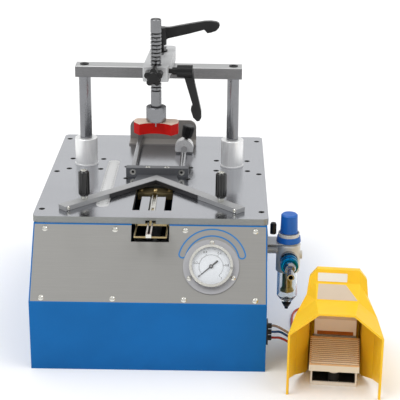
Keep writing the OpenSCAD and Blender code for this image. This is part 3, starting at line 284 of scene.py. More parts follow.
def enamel(name, base, rough=0.34, peel=0.10, dust=0.0, **sockets):
    """Baked enamel: slight cloudiness, orange peel and, towards the floor, some dust."""
    made, tree, shader, place = material(name, base, 0.0, rough, **sockets)
    cloudy = clouds(tree, place, 14.0, 4.0, 0.35, 0.65)
    tone = blended(tree, cloudy, shade(base, 0.95), shade(base, 1.04))
    if dust:
        low = spread(tree, axis_of(tree, place, "Z"), dust, 0.0, 0.0, 0.05)
        dirt = sums(tree, "MULTIPLY", low, noise(tree, place, 60.0, 5.0))
        tone = blended(tree, dirt, tone, shade(base, 0.6))
    feed(shader, "Base Color", tone)
    patches = noise(tree, place, 90.0, 3.0)
    feed(shader, "Roughness", spread(tree, patches, rough - 0.05, rough + 0.09, 0.3, 0.7))
    relief(tree, shader, noise(tree, place, 700.0, 2.0), peel, 0.0002)
    return made


def brushed(
    name, base, grain=(18.0, 1500.0, 1500.0), rough=0.36, contrast=0.09, turn=(0.0, 0.0, 0.0), metallic=1.0,
):
    """Brushed or ground metal: long fine lines in colour, gloss and relief."""
    made, tree, shader, place = material(name, base, metallic, rough)
    lines = noise(tree, stretched(tree, place, grain, turn), 1.0, 5.0, 0.62)
    fine = spread(tree, lines, 0.0, 1.0, 0.3, 0.7)
    tone = blended(tree, fine, shade(base, 1.0 - contrast), shade(base, 1.0 + contrast))
    smears = spread(tree, noise(tree, place, 11.0, 4.0), 0.0, 0.35, 0.5, 0.75)
    feed(shader, "Base Color", blended(tree, smears, tone, shade(base, 0.9)))
    gloss = spread(tree, fine, rough - 0.05, rough + 0.07)
    feed(shader, "Roughness", sums(tree, "ADD", gloss, spread(tree, smears, 0.0, 0.12)))
    relief(tree, shader, lines, 0.06, 0.0001)
    return made


def milled(name, top, edge, grain=(1300.0, 12.0, 900.0), rough=0.17):
    """Plate with a ground top in fine lines, and rougher milled edges whose darker colour is painted shade on
    the side faces.
    """
    made = brushed(name, top, grain, rough, 0.05)
    tree = made.node_tree
    shader = tree.nodes["Principled BSDF"]
    up = axis_of(tree, tree.nodes.new("ShaderNodeNewGeometry").outputs["Normal"], "Z")
    side = sums(tree, "LESS_THAN", up, 0.5)
    place = tree.nodes.new("ShaderNodeTexCoord").outputs["Object"]
    cuts = noise(tree, stretched(tree, place, (260.0, 260.0, 2600.0)), 1.0, 4.0)
    # painted shade: faces that don't face up take the darker edge colour
    shaded_milled_edge = blended(tree, spread(tree, cuts, 0.0, 1.0, 0.3, 0.7), shade(edge, 0.85), shade(edge, 1.12))
    ground = shader.inputs["Base Color"].links[0].from_socket
    gloss = shader.inputs["Roughness"].links[0].from_socket
    feed(shader, "Base Color", blended(tree, side, ground, shaded_milled_edge))
    feed(shader, "Roughness", sums(tree, "ADD", gloss, sums(tree, "MULTIPLY", side, 0.3)))
    return made


def ribbed(name, base, rib, groove_shade):
    """The treadle's rubber: light ribs up its slope with painted shade in the dark gaps between them, and plain
    pale sides.
    """
    made = rubber(name, base, 0.6)
    tree = made.node_tree
    shader = tree.nodes["Principled BSDF"]
    up_slope = PEDAL.to_3x3() @ Vector((0.0, math.cos(TREADLE_SLOPE), math.sin(TREADLE_SLOPE)))
    start = (PEDAL @ Vector(TREADLE_START)).dot(up_slope)
    place = tree.nodes.new("ShaderNodeTexCoord").outputs["Object"]
    reach = node(tree, "ShaderNodeVectorMath", {0: place, 1: up_slope}, operation="DOT_PRODUCT")
    along = sums(tree, "SUBTRACT", reach.outputs["Value"], start)
    phase = sums(tree, "FRACT", sums(tree, "DIVIDE", sums(tree, "SUBTRACT", along, RIB_FIRST), RIB_PITCH))
    off_rib = sums(tree, "GREATER_THAN", sums(tree, "ABSOLUTE", sums(tree, "SUBTRACT", phase, 0.5)), 0.27)
    past_lip, before_end = sums(tree, "GREATER_THAN", along, 0.004), sums(tree, "LESS_THAN", along, 0.064)
    ribbed_part = sums(tree, "MULTIPLY", past_lip, before_end)
    up = axis_of(tree, tree.nodes.new("ShaderNodeNewGeometry").outputs["Normal"], "Z")
    on_top = sums(tree, "MULTIPLY", sums(tree, "GREATER_THAN", up, 0.5), ribbed_part)
    tone = shader.inputs["Base Color"].links[0].from_socket
    pale = blended(tree, sums(tree, "GREATER_THAN", up, 0.5), shade(rib, 0.82), tone)
    # the dark colour between the ribs is painted shade
    striped = blended(tree, off_rib, rib, groove_shade)
    feed(shader, "Base Color", blended(tree, on_top, pale, striped))
    return made


def polished(name, base, rough=0.14, grain=None, around=False):
    """Ground and polished or plated metal with faint turning marks and finger marks.

    around: the marks run round an upright axis and draw the highlights out along it.
    """
    made, tree, shader, place = material(name, base, 1.0, rough)
    if around:
        shader.inputs["Anisotropic"].default_value = 0.85
        feed(shader, "Tangent", node(tree, "ShaderNodeTangent", direction_type="RADIAL", axis="Z").outputs[0])
    marks = noise(tree, stretched(tree, place, grain or (160.0, 160.0, 1800.0)), 1.0, 3.0)
    smudge = noise(tree, place, 45.0, 4.0)
    tone = blended(tree, spread(tree, marks, 0.0, 1.0, 0.3, 0.7), shade(base, 0.93), shade(base, 1.05))
    feed(shader, "Base Color", tone)
    feed(shader, "Roughness", spread(tree, smudge, rough - 0.04, rough + 0.1, 0.35, 0.7))
    relief(tree, shader, marks, 0.03, 0.00006)
    return made


def notched(name, base, land):
    """Turned steel of the notched rod: painted shade darkens it where it lies nearer its axis than the land, in
    the notches.
    """
    made = polished(name, base, 0.22, around=True)
    tree = made.node_tree
    shader = tree.nodes["Principled BSDF"]
    place = tree.nodes.new("ShaderNodeTexCoord").outputs["Object"]
    out = node(tree, "ShaderNodeVectorMath", {0: place, 1: ROD_AT}, operation="SUBTRACT").outputs["Vector"]
    flat = node(tree, "ShaderNodeVectorMath", {0: out, 1: (1.0, 1.0, 0.0)}, operation="MULTIPLY")
    reach = node(tree, "ShaderNodeVectorMath", {0: flat.outputs["Vector"]}, operation="LENGTH").outputs["Value"]
    tone = shader.inputs["Base Color"].links[0].from_socket
    # painted shade in the notches: below the land the steel turns nearly black
    notch_shade = spread(tree, reach, 1.0, 0.0, land - 0.0006, land)
    feed(shader, "Base Color", blended(tree, notch_shade, tone, shade(base, 0.12)))
    return made


def blasted(name, base, rough=0.42, metallic=0.85):
    """Bead-blasted or cast metal: an even fine grain."""
    made, tree, shader, place = material(name, base, metallic, rough)
    grain = noise(tree, place, 1600.0, 2.0)
    tone = blended(tree, clouds(tree, place, 30.0, 4.0, 0.35, 0.65), shade(base, 0.94), shade(base, 1.04))
    feed(shader, "Base Color", tone)
    feed(shader, "Roughness", spread(tree, grain, rough - 0.06, rough + 0.08, 0.3, 0.7))
    relief(tree, shader, grain, 0.16, 0.0001)
    return made


def moulded(name, base, rough=0.4, grain=1100.0, strength=0.12, **sockets):
    """Moulded plastic with a fine skin and a little handling shine."""
    made, tree, shader, place = material(name, base, 0.0, rough, **sockets)
    skin = noise(tree, place, grain, 2.0)
    worn = clouds(tree, place, 38.0, 4.0, 0.35, 0.65)
    feed(shader, "Base Color", blended(tree, worn, shade(base, 0.92), shade(base, 1.06)))
    feed(shader, "Roughness", spread(tree, worn, rough + 0.06, rough - 0.08))
    relief(tree, shader, skin, strength, 0.00012)
    return made


def rubber(name, base, rough=0.62, top=None):
    """Rubber or resin with a matt skin; top = (height, colour) gives an upper layer in another colour."""
    made, tree, shader, place = material(name, base, 0.0, rough, Specular_IOR_Level=0.15)
    skin = noise(tree, place, 800.0, 3.0)
    tone = blended(tree, clouds(tree, place, 70.0, 5.0, 0.3, 0.7), shade(base, 0.88), shade(base, 1.1))
    if top:
        above = sums(tree, "GREATER_THAN", axis_of(tree, place, "Z"), top[0])
        tone = blended(tree, above, tone, top[1])
    feed(shader, "Base Color", tone)
    feed(shader, "Roughness", spread(tree, skin, rough - 0.1, rough + 0.1, 0.3, 0.7))
    relief(tree, shader, skin, 0.2, 0.0002)
    return made


def thin_glass(name, base):
    """The flat glass over the dial: clear, with faint wiping marks in its gloss."""
    made, tree, shader, place = material(name, base, 0.0, 0.04, Alpha=0.07, Specular_IOR_Level=0.4)
    wipes = noise(tree, stretched(tree, place, (60.0, 20.0, 60.0)), 1.0, 4.0)
    feed(shader, "Base Color", blended(tree, wipes, shade(base, 0.96), base))
    feed(shader, "Roughness", spread(tree, wipes, 0.03, 0.1))
    relief(tree, shader, wipes, 0.03, 0.0001)
    return made


def clear_plastic(name, base, rough=0.05):
    """Clear polycarbonate with faint moulding waves."""
    made, tree, shader, place = material(name, base, 0.0, rough, Transmission_Weight=1.0, IOR=1.46)
    waves = noise(tree, place, 50.0, 3.0)
    feed(shader, "Base Color", blended(tree, waves, shade(base, 0.97), base))
    feed(shader, "Roughness", spread(tree, noise(tree, place, 120.0, 3.0), rough, rough + 0.05))
    relief(tree, shader, waves, 0.05, 0.0002)
    return made


def hose_skin(name, base, clear=0.3):
    """Drawn polyurethane hose: glossy, slightly see-through, with faint drawing lines."""
    made, tree, shader, place = material(
        name, base, 0.0, 0.24, Transmission_Weight=clear * 0.4,
        Subsurface_Weight=0.15, Subsurface_Radius=(0.002, 0.001, 0.001), IOR=1.45,
    )
    lines = noise(tree, place, 260.0, 3.0)
    mix = spread(tree, lines, 0.0, 1.0, 0.3, 0.7)
    feed(shader, "Base Color", blended(tree, mix, shade(base, 0.86), shade(base, 1.1)))
    feed(shader, "Roughness", spread(tree, lines, 0.18, 0.32))
    relief(tree, shader, lines, 0.05, 0.0001)
    return made


def ruled_strip(name, base):
    """The scale in the table: graduations every 2 mm and longer ones every 10, on satin metal."""
    made, tree, shader, place = material(name, base, 0.35, 0.34)
    across = sums(tree, "ABSOLUTE", sums(tree, "SUBTRACT", axis_of(tree, place, "X"), STRIP_X))
    along = axis_of(tree, place, "Y")
    total = None
    for pitch, width, reach in ((0.002, 0.0005, 0.0072), (0.01, 0.0008, 0.0048)):
        phase = sums(tree, "SUBTRACT", sums(tree, "FRACT", sums(tree, "DIVIDE", along, pitch)), 0.5)
        line = sums(tree, "LESS_THAN", sums(tree, "ABSOLUTE", phase), width / pitch / 2)
        out, within = sums(tree, "GREATER_THAN", across, reach), sums(tree, "LESS_THAN", across, 0.0098)
        inside = sums(tree, "MULTIPLY", out, within)
        mark = sums(tree, "MULTIPLY", line, inside)
        total = mark if total is None else sums(tree, "MAXIMUM", total, mark)
    away = sums(tree, "ABSOLUTE", sums(tree, "SUBTRACT", along, STRIP_MIDDLE))
    ends = sums(tree, "LESS_THAN", away, STRIP_HALF)
    brush = noise(tree, stretched(tree, place, (900.0, 14.0, 900.0)), 1.0, 4.0)
    metal = blended(tree, spread(tree, brush, 0.0, 1.0, 0.3, 0.7), shade(base, 0.9), shade(base, 1.06))
    feed(shader, "Base Color", blended(tree, sums(tree, "MULTIPLY", total, ends), metal, tint(70, 72, 76)))
    feed(shader, "Roughness", spread(tree, brush, 0.28, 0.4))
    relief(tree, shader, brush, 0.05, 0.0001)
    return made


def finishes():
    """Every finish of the object, made once and found again by its slot's name."""
    if FINISHES:
        return FINISHES
    c = bpy.context.scene.underpinner_colours
    enamel("cabinet_blue", c.cabinet, 0.38, 0.12, dust=0.5, Specular_IOR_Level=0.15)
    brushed("panel_steel", c.panel, (14.0, 900.0, 1100.0), 0.46, 0.05, metallic=0.5)
    # the table's edge colour, darker than its top, is painted shade on its sides
    milled("table_steel", c.table, tint(150, 152, 150))
    polished("zinc", tint(222, 221, 214), 0.22)
    polished("bright_steel", tint(158, 159, 162), 0.16)
    polished("turned_steel", tint(134, 135, 138), 0.2, around=True)
    notched("rod_steel", tint(130, 131, 133), ROD_LAND)
    brushed("satin_steel", tint(248, 249, 249), (700.0, 700.0, 30.0), 0.38, 0.08, metallic=0.7)
    brushed("steel", tint(176, 177, 178), (30.0, 700.0, 700.0), 0.4, 0.06, metallic=0.6)
    # the beam's edge colour, darker than its top, is painted shade on its front and sides
    milled("beam_steel", tint(190, 191, 191), tint(150, 150, 151), (30.0, 700.0, 700.0), 0.4)
    brushed("flange_steel", tint(168, 168, 171), (300.0, 300.0, 300.0), 0.4, 0.04, metallic=0.6)
    enamel("black_steel", tint(30, 29, 29), 0.45, 0.16, Specular_IOR_Level=0.3)
    brushed("dark_steel", tint(104, 106, 110), (300.0, 300.0, 300.0), 0.42, 0.08, metallic=0.4)
    blasted("arm_grey", c.arm, 0.46, 0.5)
    moulded("black_plastic", tint(14, 14, 15), 0.36, 900.0, 0.12, Specular_IOR_Level=0.35)
    rubber("pad_red", c.pad, 0.6, top=(PAD_LAYER, tint(226, 202, 184)))
    ruled_strip("strip_white", tint(216, 217, 217))
    clear_plastic("clear", tint(242, 245, 245), 0.03)
    thin_glass("dial_glass", tint(244, 247, 248))
    moulded("regulator_white", tint(214, 212, 206), 0.34, 500.0, 0.05)
    moulded("regulator_blue", c.regulator, 0.36, 600.0, 0.08, Specular_IOR_Level=0.3)
    blasted("brass", tint(206, 178, 110), 0.36, 0.7)
    blasted("gold_zinc", tint(176, 158, 116), 0.28, 0.9)
    polished("coupling_blue", c.coupling, 0.22, (90.0, 2200.0, 90.0))
    enamel("pedal_beige", c.pedal, 0.42, 0.15, Specular_IOR_Level=0.3)
    # the last colour is painted shade for the gaps between the treadle's ribs
    ribbed("treadle_tan", c.treadle, tint(255, 240, 214), tint(150, 92, 46))
    enamel(
        "guard_yellow", c.guard, 0.34, 0.1, Specular_IOR_Level=0.35,
        Subsurface_Weight=0.3, Subsurface_Radius=(0.01, 0.006, 0.002),
    )
    hose_skin("hose_clear", c.hose_clear, 0.5)
    hose_skin("hose_blue", c.hose_blue, 0.2)
    hose_skin("hose_red", c.hose_red, 0.2)
    enamel("print_blue", c.print_blue, 0.45, 0.05, Specular_IOR_Level=0.25)
    enamel("dial_white", tint(224, 227, 231), 0.5, 0.04)
    enamel("dial_black", tint(22, 22, 24), 0.5, 0.05)
    enamel("label_white", tint(236, 232, 222), 0.45, 0.05)
    enamel("label_film", tint(206, 188, 166), 0.4, 0.05)
    # a dark finish for pieces of painted shade in the pedal's base
    rubber("shade_black", tint(38, 35, 32), 0.7)
    # a brown finish for painted shadow with the guard's yellow reflected in it
    rubber("shadow_brown", tint(168, 92, 20), 0.6)
    moulded("grip_black", tint(10, 10, 11), 0.2, 900.0, 0.05, Specular_IOR_Level=0.6)
    brushed("bright_satin", tint(236, 236, 236), (900.0, 900.0, 900.0), 0.3, 0.06, metallic=0.45)
    brushed("wing_black", tint(66, 66, 68), (700.0, 700.0, 30.0), 0.35, 0.1, metallic=0.5)
    brushed("bracket_grey", tint(150, 146, 142), (300.0, 300.0, 300.0), 0.36, 0.08, metallic=0.5)
    return FINISHES


# ---------- modelling ----------


def clear_selection():
    """Leaves edit mode and deselects everything, because an operator acts on all that is selected."""
    if bpy.context.object and bpy.context.object.mode != "OBJECT":
        bpy.ops.object.mode_set(mode="OBJECT")
    bpy.ops.object.select_all(action="DESELECT")


def take(piece):
    clear_selection()
    piece.select_set(True)
    bpy.context.view_layer.objects.active = piece
    return piece


def edit():
    bpy.ops.object.mode_set(mode="EDIT")
    bpy.ops.mesh.select_mode(type="FACE")


def edit_all():
    edit()
    bpy.ops.mesh.select_all(action="SELECT")


def leave():
    bpy.ops.object.mode_set(mode="OBJECT")


def fix_place():
    """Brings the active piece's place, turn and scale into its mesh."""
    bpy.ops.object.transform_apply(location=True, rotation=True, scale=True)


def extrude(x, y, z):
    bpy.ops.mesh.extrude_region_move(TRANSFORM_OT_translate={"value": (x, y, z)})


def pick(piece, test):
    """Selects the faces whose middle and normal pass the test, and stays in edit mode."""
    bpy.ops.mesh.select_mode(type="FACE")
    bpy.ops.mesh.select_all(action="DESELECT")
    leave()
    for face in piece.data.polygons:
        face.select = bool(test(face.center, face.normal))
    bpy.ops.object.mode_set(mode="EDIT")


def round_edges(piece, width, angle=32.0, steps=2):
    """A bevel on the sharp edges, applied, and then smooth shading up to the same angle."""
    if width:
        bevel = piece.modifiers.new("Edges", "BEVEL")
        bevel.width = width * bpy.context.scene.underpinner_sizes.edge_round
        bevel.segments = steps
        bevel.limit_method = "ANGLE"
        bevel.angle_limit = math.radians(angle)
        bpy.ops.object.modifier_apply(modifier=bevel.name)
    bpy.ops.object.shade_smooth_by_angle(angle=math.radians(28))
    flat = piece.modifiers.new("Flat faces", "WEIGHTED_NORMAL")
    flat.mode = "FACE_AREA"
    flat.weight = 80
    flat.keep_sharp = True
    bpy.ops.object.modifier_apply(modifier=flat.name)


def turned(degrees, steps, centre=(0.0, 0.0, 0.0)):
    """Spins the selection counter-clockwise about the upright axis; the operator itself turns clockwise."""
    bpy.ops.mesh.spin(steps=steps, angle=-math.radians(degrees), center=centre, axis=(0.0, 0.0, 1.0))


def outwards():
    """Closes doubles and makes all faces point outwards, and leaves edit mode."""
    bpy.ops.mesh.select_all(action="SELECT")
    bpy.ops.mesh.remove_doubles(threshold=0.00003)
    bpy.ops.mesh.normals_make_consistent(inside=False)
    leave()


def card(width, height, thick, corner):
    """A thin flat card with rounded corners, its underside's middle at the origin."""
    clear_selection()
    bpy.ops.mesh.primitive_plane_add(size=1.0)
    piece = bpy.context.object
    edit_all()
    bpy.ops.transform.resize(value=(width, height, 1.0))
    bpy.ops.mesh.bevel(offset=corner, segments=4, affect="VERTICES")
    bpy.ops.mesh.select_all(action="SELECT")
    extrude(0.0, 0.0, thick)
    outwards()
    return piece


def section(width, height, x, z):
    """An upright cross section in the XZ plane with its middle at x, z, ready to be spun."""
    clear_selection()
    bpy.ops.mesh.primitive_plane_add(size=1.0, rotation=(math.pi / 2, 0.0, 0.0))
    piece = bpy.context.object
    piece.scale = (width, height, 1.0)
    piece.location = (x, 0.0, z)
    fix_place()
    return piece


def ring(outer, inner, height):
    """A round ring standing on the origin's plane: its cross section spun round once."""
    piece = section(outer - inner, height, (outer + inner) / 2, height / 2)
    edit_all()
    turned(360, 56)
    outwards()
    round_edges(piece, min(height, outer - inner) * 0.22)
    return piece


def joined(parts):
    """All parts as one piece, the first of them."""
    clear_selection()
    for part in parts:
        part.select_set(True)
    bpy.context.view_layer.objects.active = parts[0]
    bpy.ops.object.join()
    return parts[0]


def seat(piece, name, finish, body, place=None):
    """Names a finished piece, brings its place into its mesh and makes it ride on its body."""
    take(piece)
    if place is not None:
        piece.matrix_world = place @ piece.matrix_world
    fix_place()
    piece.name = piece.data.name = name
    piece.data.materials.clear()
    piece.data.materials.append(finishes()[finish])
    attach(piece, body)
    return piece


def dressed(node_name, finish, bevel, steps=2, angle=32.0):
    """A merged copy of a CAD node with rounded edges, which stands for the node."""
    source = NODES[node_name]
    piece = bpy.data.objects.new(node_name + "_dressed", source.data.copy())
    bpy.context.scene.collection.objects.link(piece)
    take(piece)
    edit_all()
    bpy.ops.mesh.remove_doubles(threshold=0.00001)
    bpy.ops.mesh.dissolve_limited(angle_limit=math.radians(0.6))
    leave()
    round_edges(piece, bevel, angle, steps)
    piece.data.materials.clear()
    piece.data.materials.append(finishes()[finish])
    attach(piece, BODY_OF[node_name])
    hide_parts(node_name)
    return piece


def finish_node(node_name, finish):
    """A CAD node kept as it is, with its finish in its own material slots."""
    mesh = NODES[node_name].data
    mesh.materials.clear()
    mesh.materials.append(finishes()[finish])


# ---------- hoses ----------

BULKHEAD_X, BULKHEAD_Y = 0.198, -0.220
BULKHEAD_Z = (0.0636, 0.0528, 0.0424)
HOSE_LIE = 0.0023
COIL_AT = ((0.340, -0.098), (0.331, -0.046), (0.322, 0.006))
COIL_RADIUS, COIL_STEP, COIL_LAYER, COIL_TURNS = 0.0222, 0.0048, 0.0046, 7.75
PORT_X = (0.011, 0.0, -0.011)
WAY_IN = (
    ((214, -222, 59.5), (239, -212, 38), (248, -190, 17), (252, -165, 4),
     (256, -142, 2.3), (272, -126, 2.3), (326, -120.2, 2.3)),
    ((214, -219, 51.5), (236, -207, 31), (242, -185, 12), (245, -160, 3),
     (246, -125, 2.3), (250, -95, 2.3), (266, -73, 2.3), (317, -68.2, 2.3)),
    ((214, -220, 41.5), (232, -205, 24), (236, -180, 8), (238, -150, 2.3),
     (240, -65, 2.3), (250, -30, 2.3), (274, -16.5, 2.3), (308, -16.2, 2.3)),
)
WAY_OUT = (
    ((319, -112, 17), (319, -124, 21)),
    ((310, -62, 14), (310, -84, 11), (309, -110, 15), (307.8, -135, 26)),
    ((301, -14, 12), (301, -40, 8), (300, -75, 8), (298.5, -105, 12), (296.5, -132, 24)),
)


def coil_radius(turn):
    """Two loops inwards, two outwards, and again."""
    part = turn % 4
    return COIL_RADIUS - COIL_STEP * (part if part < 2 else 4 - part)


def coil_height(turn):
    """Each pass of two turns lies a layer higher, with a short climb between two passes."""
    near = math.floor(turn / 2 + 0.5)
    if near == 0:
        return 0.0
    part = turn - 2 * near
    step = 0 if part < -0.25 else 1 if part > 0.25 else (part + 0.25) * 2
    return COIL_LAYER * (near - 1 + step)


def smooth_way(points, steps):
    """Points on a smooth curve through the given ones."""
    way = []
    for i in range(len(points) - 1):
        a, b, c, d = (Vector(points[j]) for j in (max(i - 1, 0), i, i + 1, min(i + 2, len(points) - 1)))
        for j in range(steps):
            t = j / steps
            bend, twist = 2 * a - 5 * b + 4 * c - d, 3 * b - a - 3 * c + d
            way.append(0.5 * (2 * b + (c - a) * t + bend * t * t + twist * t ** 3))
    return way + [Vector(points[-1])]


def hose_route(k):
    """The whole way of hose k, from the bulkhead over its coil to the valve's port."""
    x0, y0 = COIL_AT[k]
    z_end = HOSE_LIE + coil_height(COIL_TURNS)
    x_end = x0 - coil_radius(COIL_TURNS)
    first = [(BULKHEAD_X, BULKHEAD_Y, BULKHEAD_Z[k]), (BULKHEAD_X + 0.005, BULKHEAD_Y, BULKHEAD_Z[k])]
    first += [tuple(v * MM for v in p) for p in WAY_IN[k]]
    first += [(x0 - 0.008, y0 - COIL_RADIUS, HOSE_LIE), (x0 - 0.004, y0 - COIL_RADIUS, HOSE_LIE)]
    last = [(x_end, y0 - 0.004, z_end), (x_end, y0 - 0.008, z_end)]
    last += [tuple(v * MM for v in p) for p in WAY_OUT[k]]
    last += [tuple(PEDAL @ Vector((PORT_X[k], y, 0.030))) for y in (0.152, 0.147, 0.142)]
    turns = []
    for i in range(int(32 * COIL_TURNS) + 1):
        t = i / 32
        a = math.radians(270 + 360 * t)
        r = coil_radius(t)
        turns.append(Vector((x0 + r * math.cos(a), y0 + r * math.sin(a), HOSE_LIE + coil_height(t))))
    way = smooth_way(first, 4) + turns + smooth_way(last, 4)
    return [Vector((p.x, p.y, max(p.z, HOSE_LIE - 0.0002))) for p in way]


class UNDERPINNER_OT_hoses(bpy.types.Operator):
    """Lay the three air hoses from the bulkhead over their coils to the pedal's valve"""
    bl_idname = "underpinner.hoses"
    bl_label = "Air hoses"

    def execute(self, context):
        width = context.scene.underpinner_sizes.hose_diameter
        for k, name in enumerate(("clear", "blue", "red")):
            route = hose_route(k)
            line = bpy.data.curves.new("air_hose_" + name, "CURVE")
            line.dimensions = "3D"
            spline = line.splines.new("POLY")
            spline.points.add(len(route) - 1)
            for point, at in zip(spline.points, route):
                point.co = (*at, 1.0)
            spline.use_smooth = True
            line.bevel_depth = width / 2
            line.bevel_resolution = 3
            line.use_fill_caps = True
            hose = bpy.data.objects.new("air_hose_" + name, line)
            context.scene.collection.objects.link(hose)
            line.materials.append(finishes()["hose_" + name])
            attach(hose, "base")
            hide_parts("hose_" + name, "coil_" + name)
        return {"FINISHED"}


# ---------- cabinet ----------


class UNDERPINNER_OT_cabinet(bpy.types.Operator):
    """Finish the cabinet and its brushed front panel with the screws"""
    bl_idname = "underpinner.cabinet"
    bl_label = "Cabinet and panel"

    def execute(self, context):
        dressed("cabinet_shell", "cabinet_blue", 0.0009)
        dressed("front_panel", "panel_steel", 0.0003)
        dressed("panel_screws", "zinc", 0.0002)
        finish_node("base_plate", "dark_steel")
        return {"FINISHED"}


class UNDERPINNER_OT_band(bpy.types.Operator):
    """Print the blue line of the blank band that arches over the gauge"""
    bl_idname = "underpinner.band"
    bl_label = "Printed band"

    def execute(self, context):
        s = context.scene.underpinner_sizes
        middle, half = s.band_radius, s.band_width / 2
        centre = Vector((1.5 * MM, 8.0 * MM, 0.0))
        left, right = math.radians(166), math.radians(14)
        inner = middle - half
        # the line's cross section stands at the inner arc's right end and is spun round the whole outline
        line = section(s.line_width, 0.00016, inner + s.line_width / 2, 0.00006)
        line.matrix_world = Matrix.Translation(centre) @ Matrix.Rotation(right, 4, "Z")
        fix_place()
        edit_all()

        at_left = centre + Vector((math.cos(left), math.sin(left), 0.0)) * middle
        at_right = centre + Vector((math.cos(right), math.sin(right), 0.0)) * middle
        turned(152, 44, centre)
        turned(-180, 14, at_left)
        turned(-152, 56, centre)
        turned(-180, 14, at_right)
        outwards()
        seat(line, "panel_band_line", "print_blue", "base", GAUGE)
        return {"FINISHED"}


# ---------- table ----------


class UNDERPINNER_OT_table(bpy.types.Operator):
    """Finish the table with its screws, scale, sleeves and rear bracket"""
    bl_idname = "underpinner.table"
    bl_label = "Table"

    def execute(self, context):
        dressed("table_plate", "table_steel", 0.0005)
        dressed("table_screws", "black_steel", 0.0003)
        dressed("scale_strip", "strip_white", 0.0001)
        dressed("post_sleeves", "satin_steel", 0.0004)
        dressed("rear_bracket", "bracket_grey", 0.0006)
        return {"FINISHED"}


class UNDERPINNER_OT_nail_feed(bpy.types.Operator):
    """Finish the nail magazine, its guide head, the driver and the hidden cylinders"""
    bl_idname = "underpinner.nail_feed"
    bl_label = "Nail feed and drive"

    def execute(self, context):
        dressed("magazine_bed", "dark_steel", 0.0004)
        dressed("magazine_rail", "zinc", 0.0003)
        dressed("guide_head", "gold_zinc", 0.0004)
        dressed("magazine_pusher", "gold_zinc", 0.0002)
        dressed("driver_blade", "steel", 0.0)
        finish_node("clamp_cylinders", "steel")
        finish_node("drive_cylinder", "steel")
        return {"FINISHED"}


# ---------- gauge ----------


class UNDERPINNER_OT_gauge(bpy.types.Operator):
    """Finish the gauge and make its dial with scale and numbers"""
    bl_idname = "underpinner.gauge"
    bl_label = "Pressure gauge"

    def execute(self, context):
        dressed("gauge_case", "flange_steel", 0.0005)
        dressed("gauge_glass", "dial_glass", 0.0002)
        dressed("gauge_needle", "black_steel", 0.0001)
        bezel = ring(0.0350, 0.0305, 0.0013)
        place = GAUGE @ Matrix.Translation((0.0, 0.0, 0.0081))
        seat(bezel, "gauge_bezel", "zinc", "base", place)
        radius = context.scene.underpinner_sizes.dial_radius
        clear_selection()
        bpy.ops.mesh.primitive_circle_add(
            vertices=72, radius=radius, fill_type="NGON", location=(0.0, 0.0, 0.00305),
        )
        dial = bpy.context.object
        edit_all()
        bpy.ops.mesh.inset(thickness=0.0022)
        bpy.ops.transform.translate(value=(0.0, 0.0, -0.00002))
        bpy.ops.mesh.inset(thickness=radius * 0.9 - 0.0024)
        bpy.ops.mesh.select_all(action="SELECT")
        extrude(0.0, 0.0, 0.0003)
        bpy.ops.mesh.select_all(action="SELECT")
        bpy.ops.mesh.normals_make_consistent(inside=False)
        leave()
        # a hole for the needle's pivot
        edit()
        pick(dial, lambda c, n: (c.x ** 2 + c.y ** 2) ** 0.5 < 0.0005)
        bpy.ops.mesh.delete(type="FACE")
        leave()
        seat(dial, "gauge_dial", "dial_white", "base", GAUGE)
        self.print_scale(context, radius)
        return {"FINISHED"}

    def print_scale(self, context, radius):
        """The arc, its strokes and the numbers, from 0 at the lower left."""
        level = 0.00342
        parts = []
        arc = section(0.00035, 0.0001, radius * 0.60, level)
        arc.matrix_world = Matrix.Rotation(math.radians(-49), 4, "Z")
        fix_place()
        edit_all()
        turned(270, 72)
        outwards()
        parts.append(arc)
        for i in range(51):
            angle = math.radians(221 - 5.4 * i)
            length = 0.0030 if i % 10 == 0 else 0.0019 if i % 5 == 0 else 0.0011
            width = 0.0006 if i % 10 == 0 else 0.0003
            clear_selection()
            bpy.ops.mesh.primitive_plane_add(size=1.0)
            stroke = bpy.context.object
            edit()
            bpy.ops.mesh.select_all(action="SELECT")
            extrude(0.0, 0.0, 1.0)
            bpy.ops.mesh.select_all(action="SELECT")
            bpy.ops.mesh.normals_make_consistent(inside=False)
            leave()
            stroke.scale = (length, width, 0.0001)
            stroke.location = (radius * 0.60 + length / 2, 0.0, level - 0.00005)
            fix_place()
            stroke.matrix_world = Matrix.Rotation(angle, 4, "Z")
            fix_place()
            parts.append(stroke)
        for i, word in enumerate(("0", "0.2", "0.4", "0.6", "0.8", "1")):
            angle = math.radians(221 - 54 * i)
            clear_selection()
            bpy.ops.object.text_add()
            text = bpy.context.object
            text.data.body = word
            text.data.align_x = "CENTER"
            text.data.align_y = "CENTER"
            text.data.size = 0.0052
            text.data.extrude = 0.00005
            text.location = (radius * 0.80 * math.cos(angle), radius * 0.80 * math.sin(angle), level)
            bpy.ops.object.convert(target="MESH")
            fix_place()
            parts.append(bpy.context.object)
        seat(joined(parts), "gauge_scale", "dial_black", "base", GAUGE)


# ---------- posts, beam and press arm ----------


def flush_screw(radius, height):
    """A socket screw sunk almost flush: a low head with a round rim and a hexagonal socket."""
    clear_selection()
    bpy.ops.mesh.primitive_circle_add(vertices=36, radius=radius, fill_type="NGON")
    piece = bpy.context.object
    edit_all()
    extrude(0.0, 0.0, height)
    bpy.ops.mesh.inset(thickness=radius * 0.16)
    bpy.ops.transform.translate(value=(0.0, 0.0, height * 0.25))
    bpy.ops.mesh.inset(thickness=radius * 0.34)
    extrude(0.0, 0.0, -height * 0.9)
    outwards()
    round_edges(piece, 0.00012)
    return piece


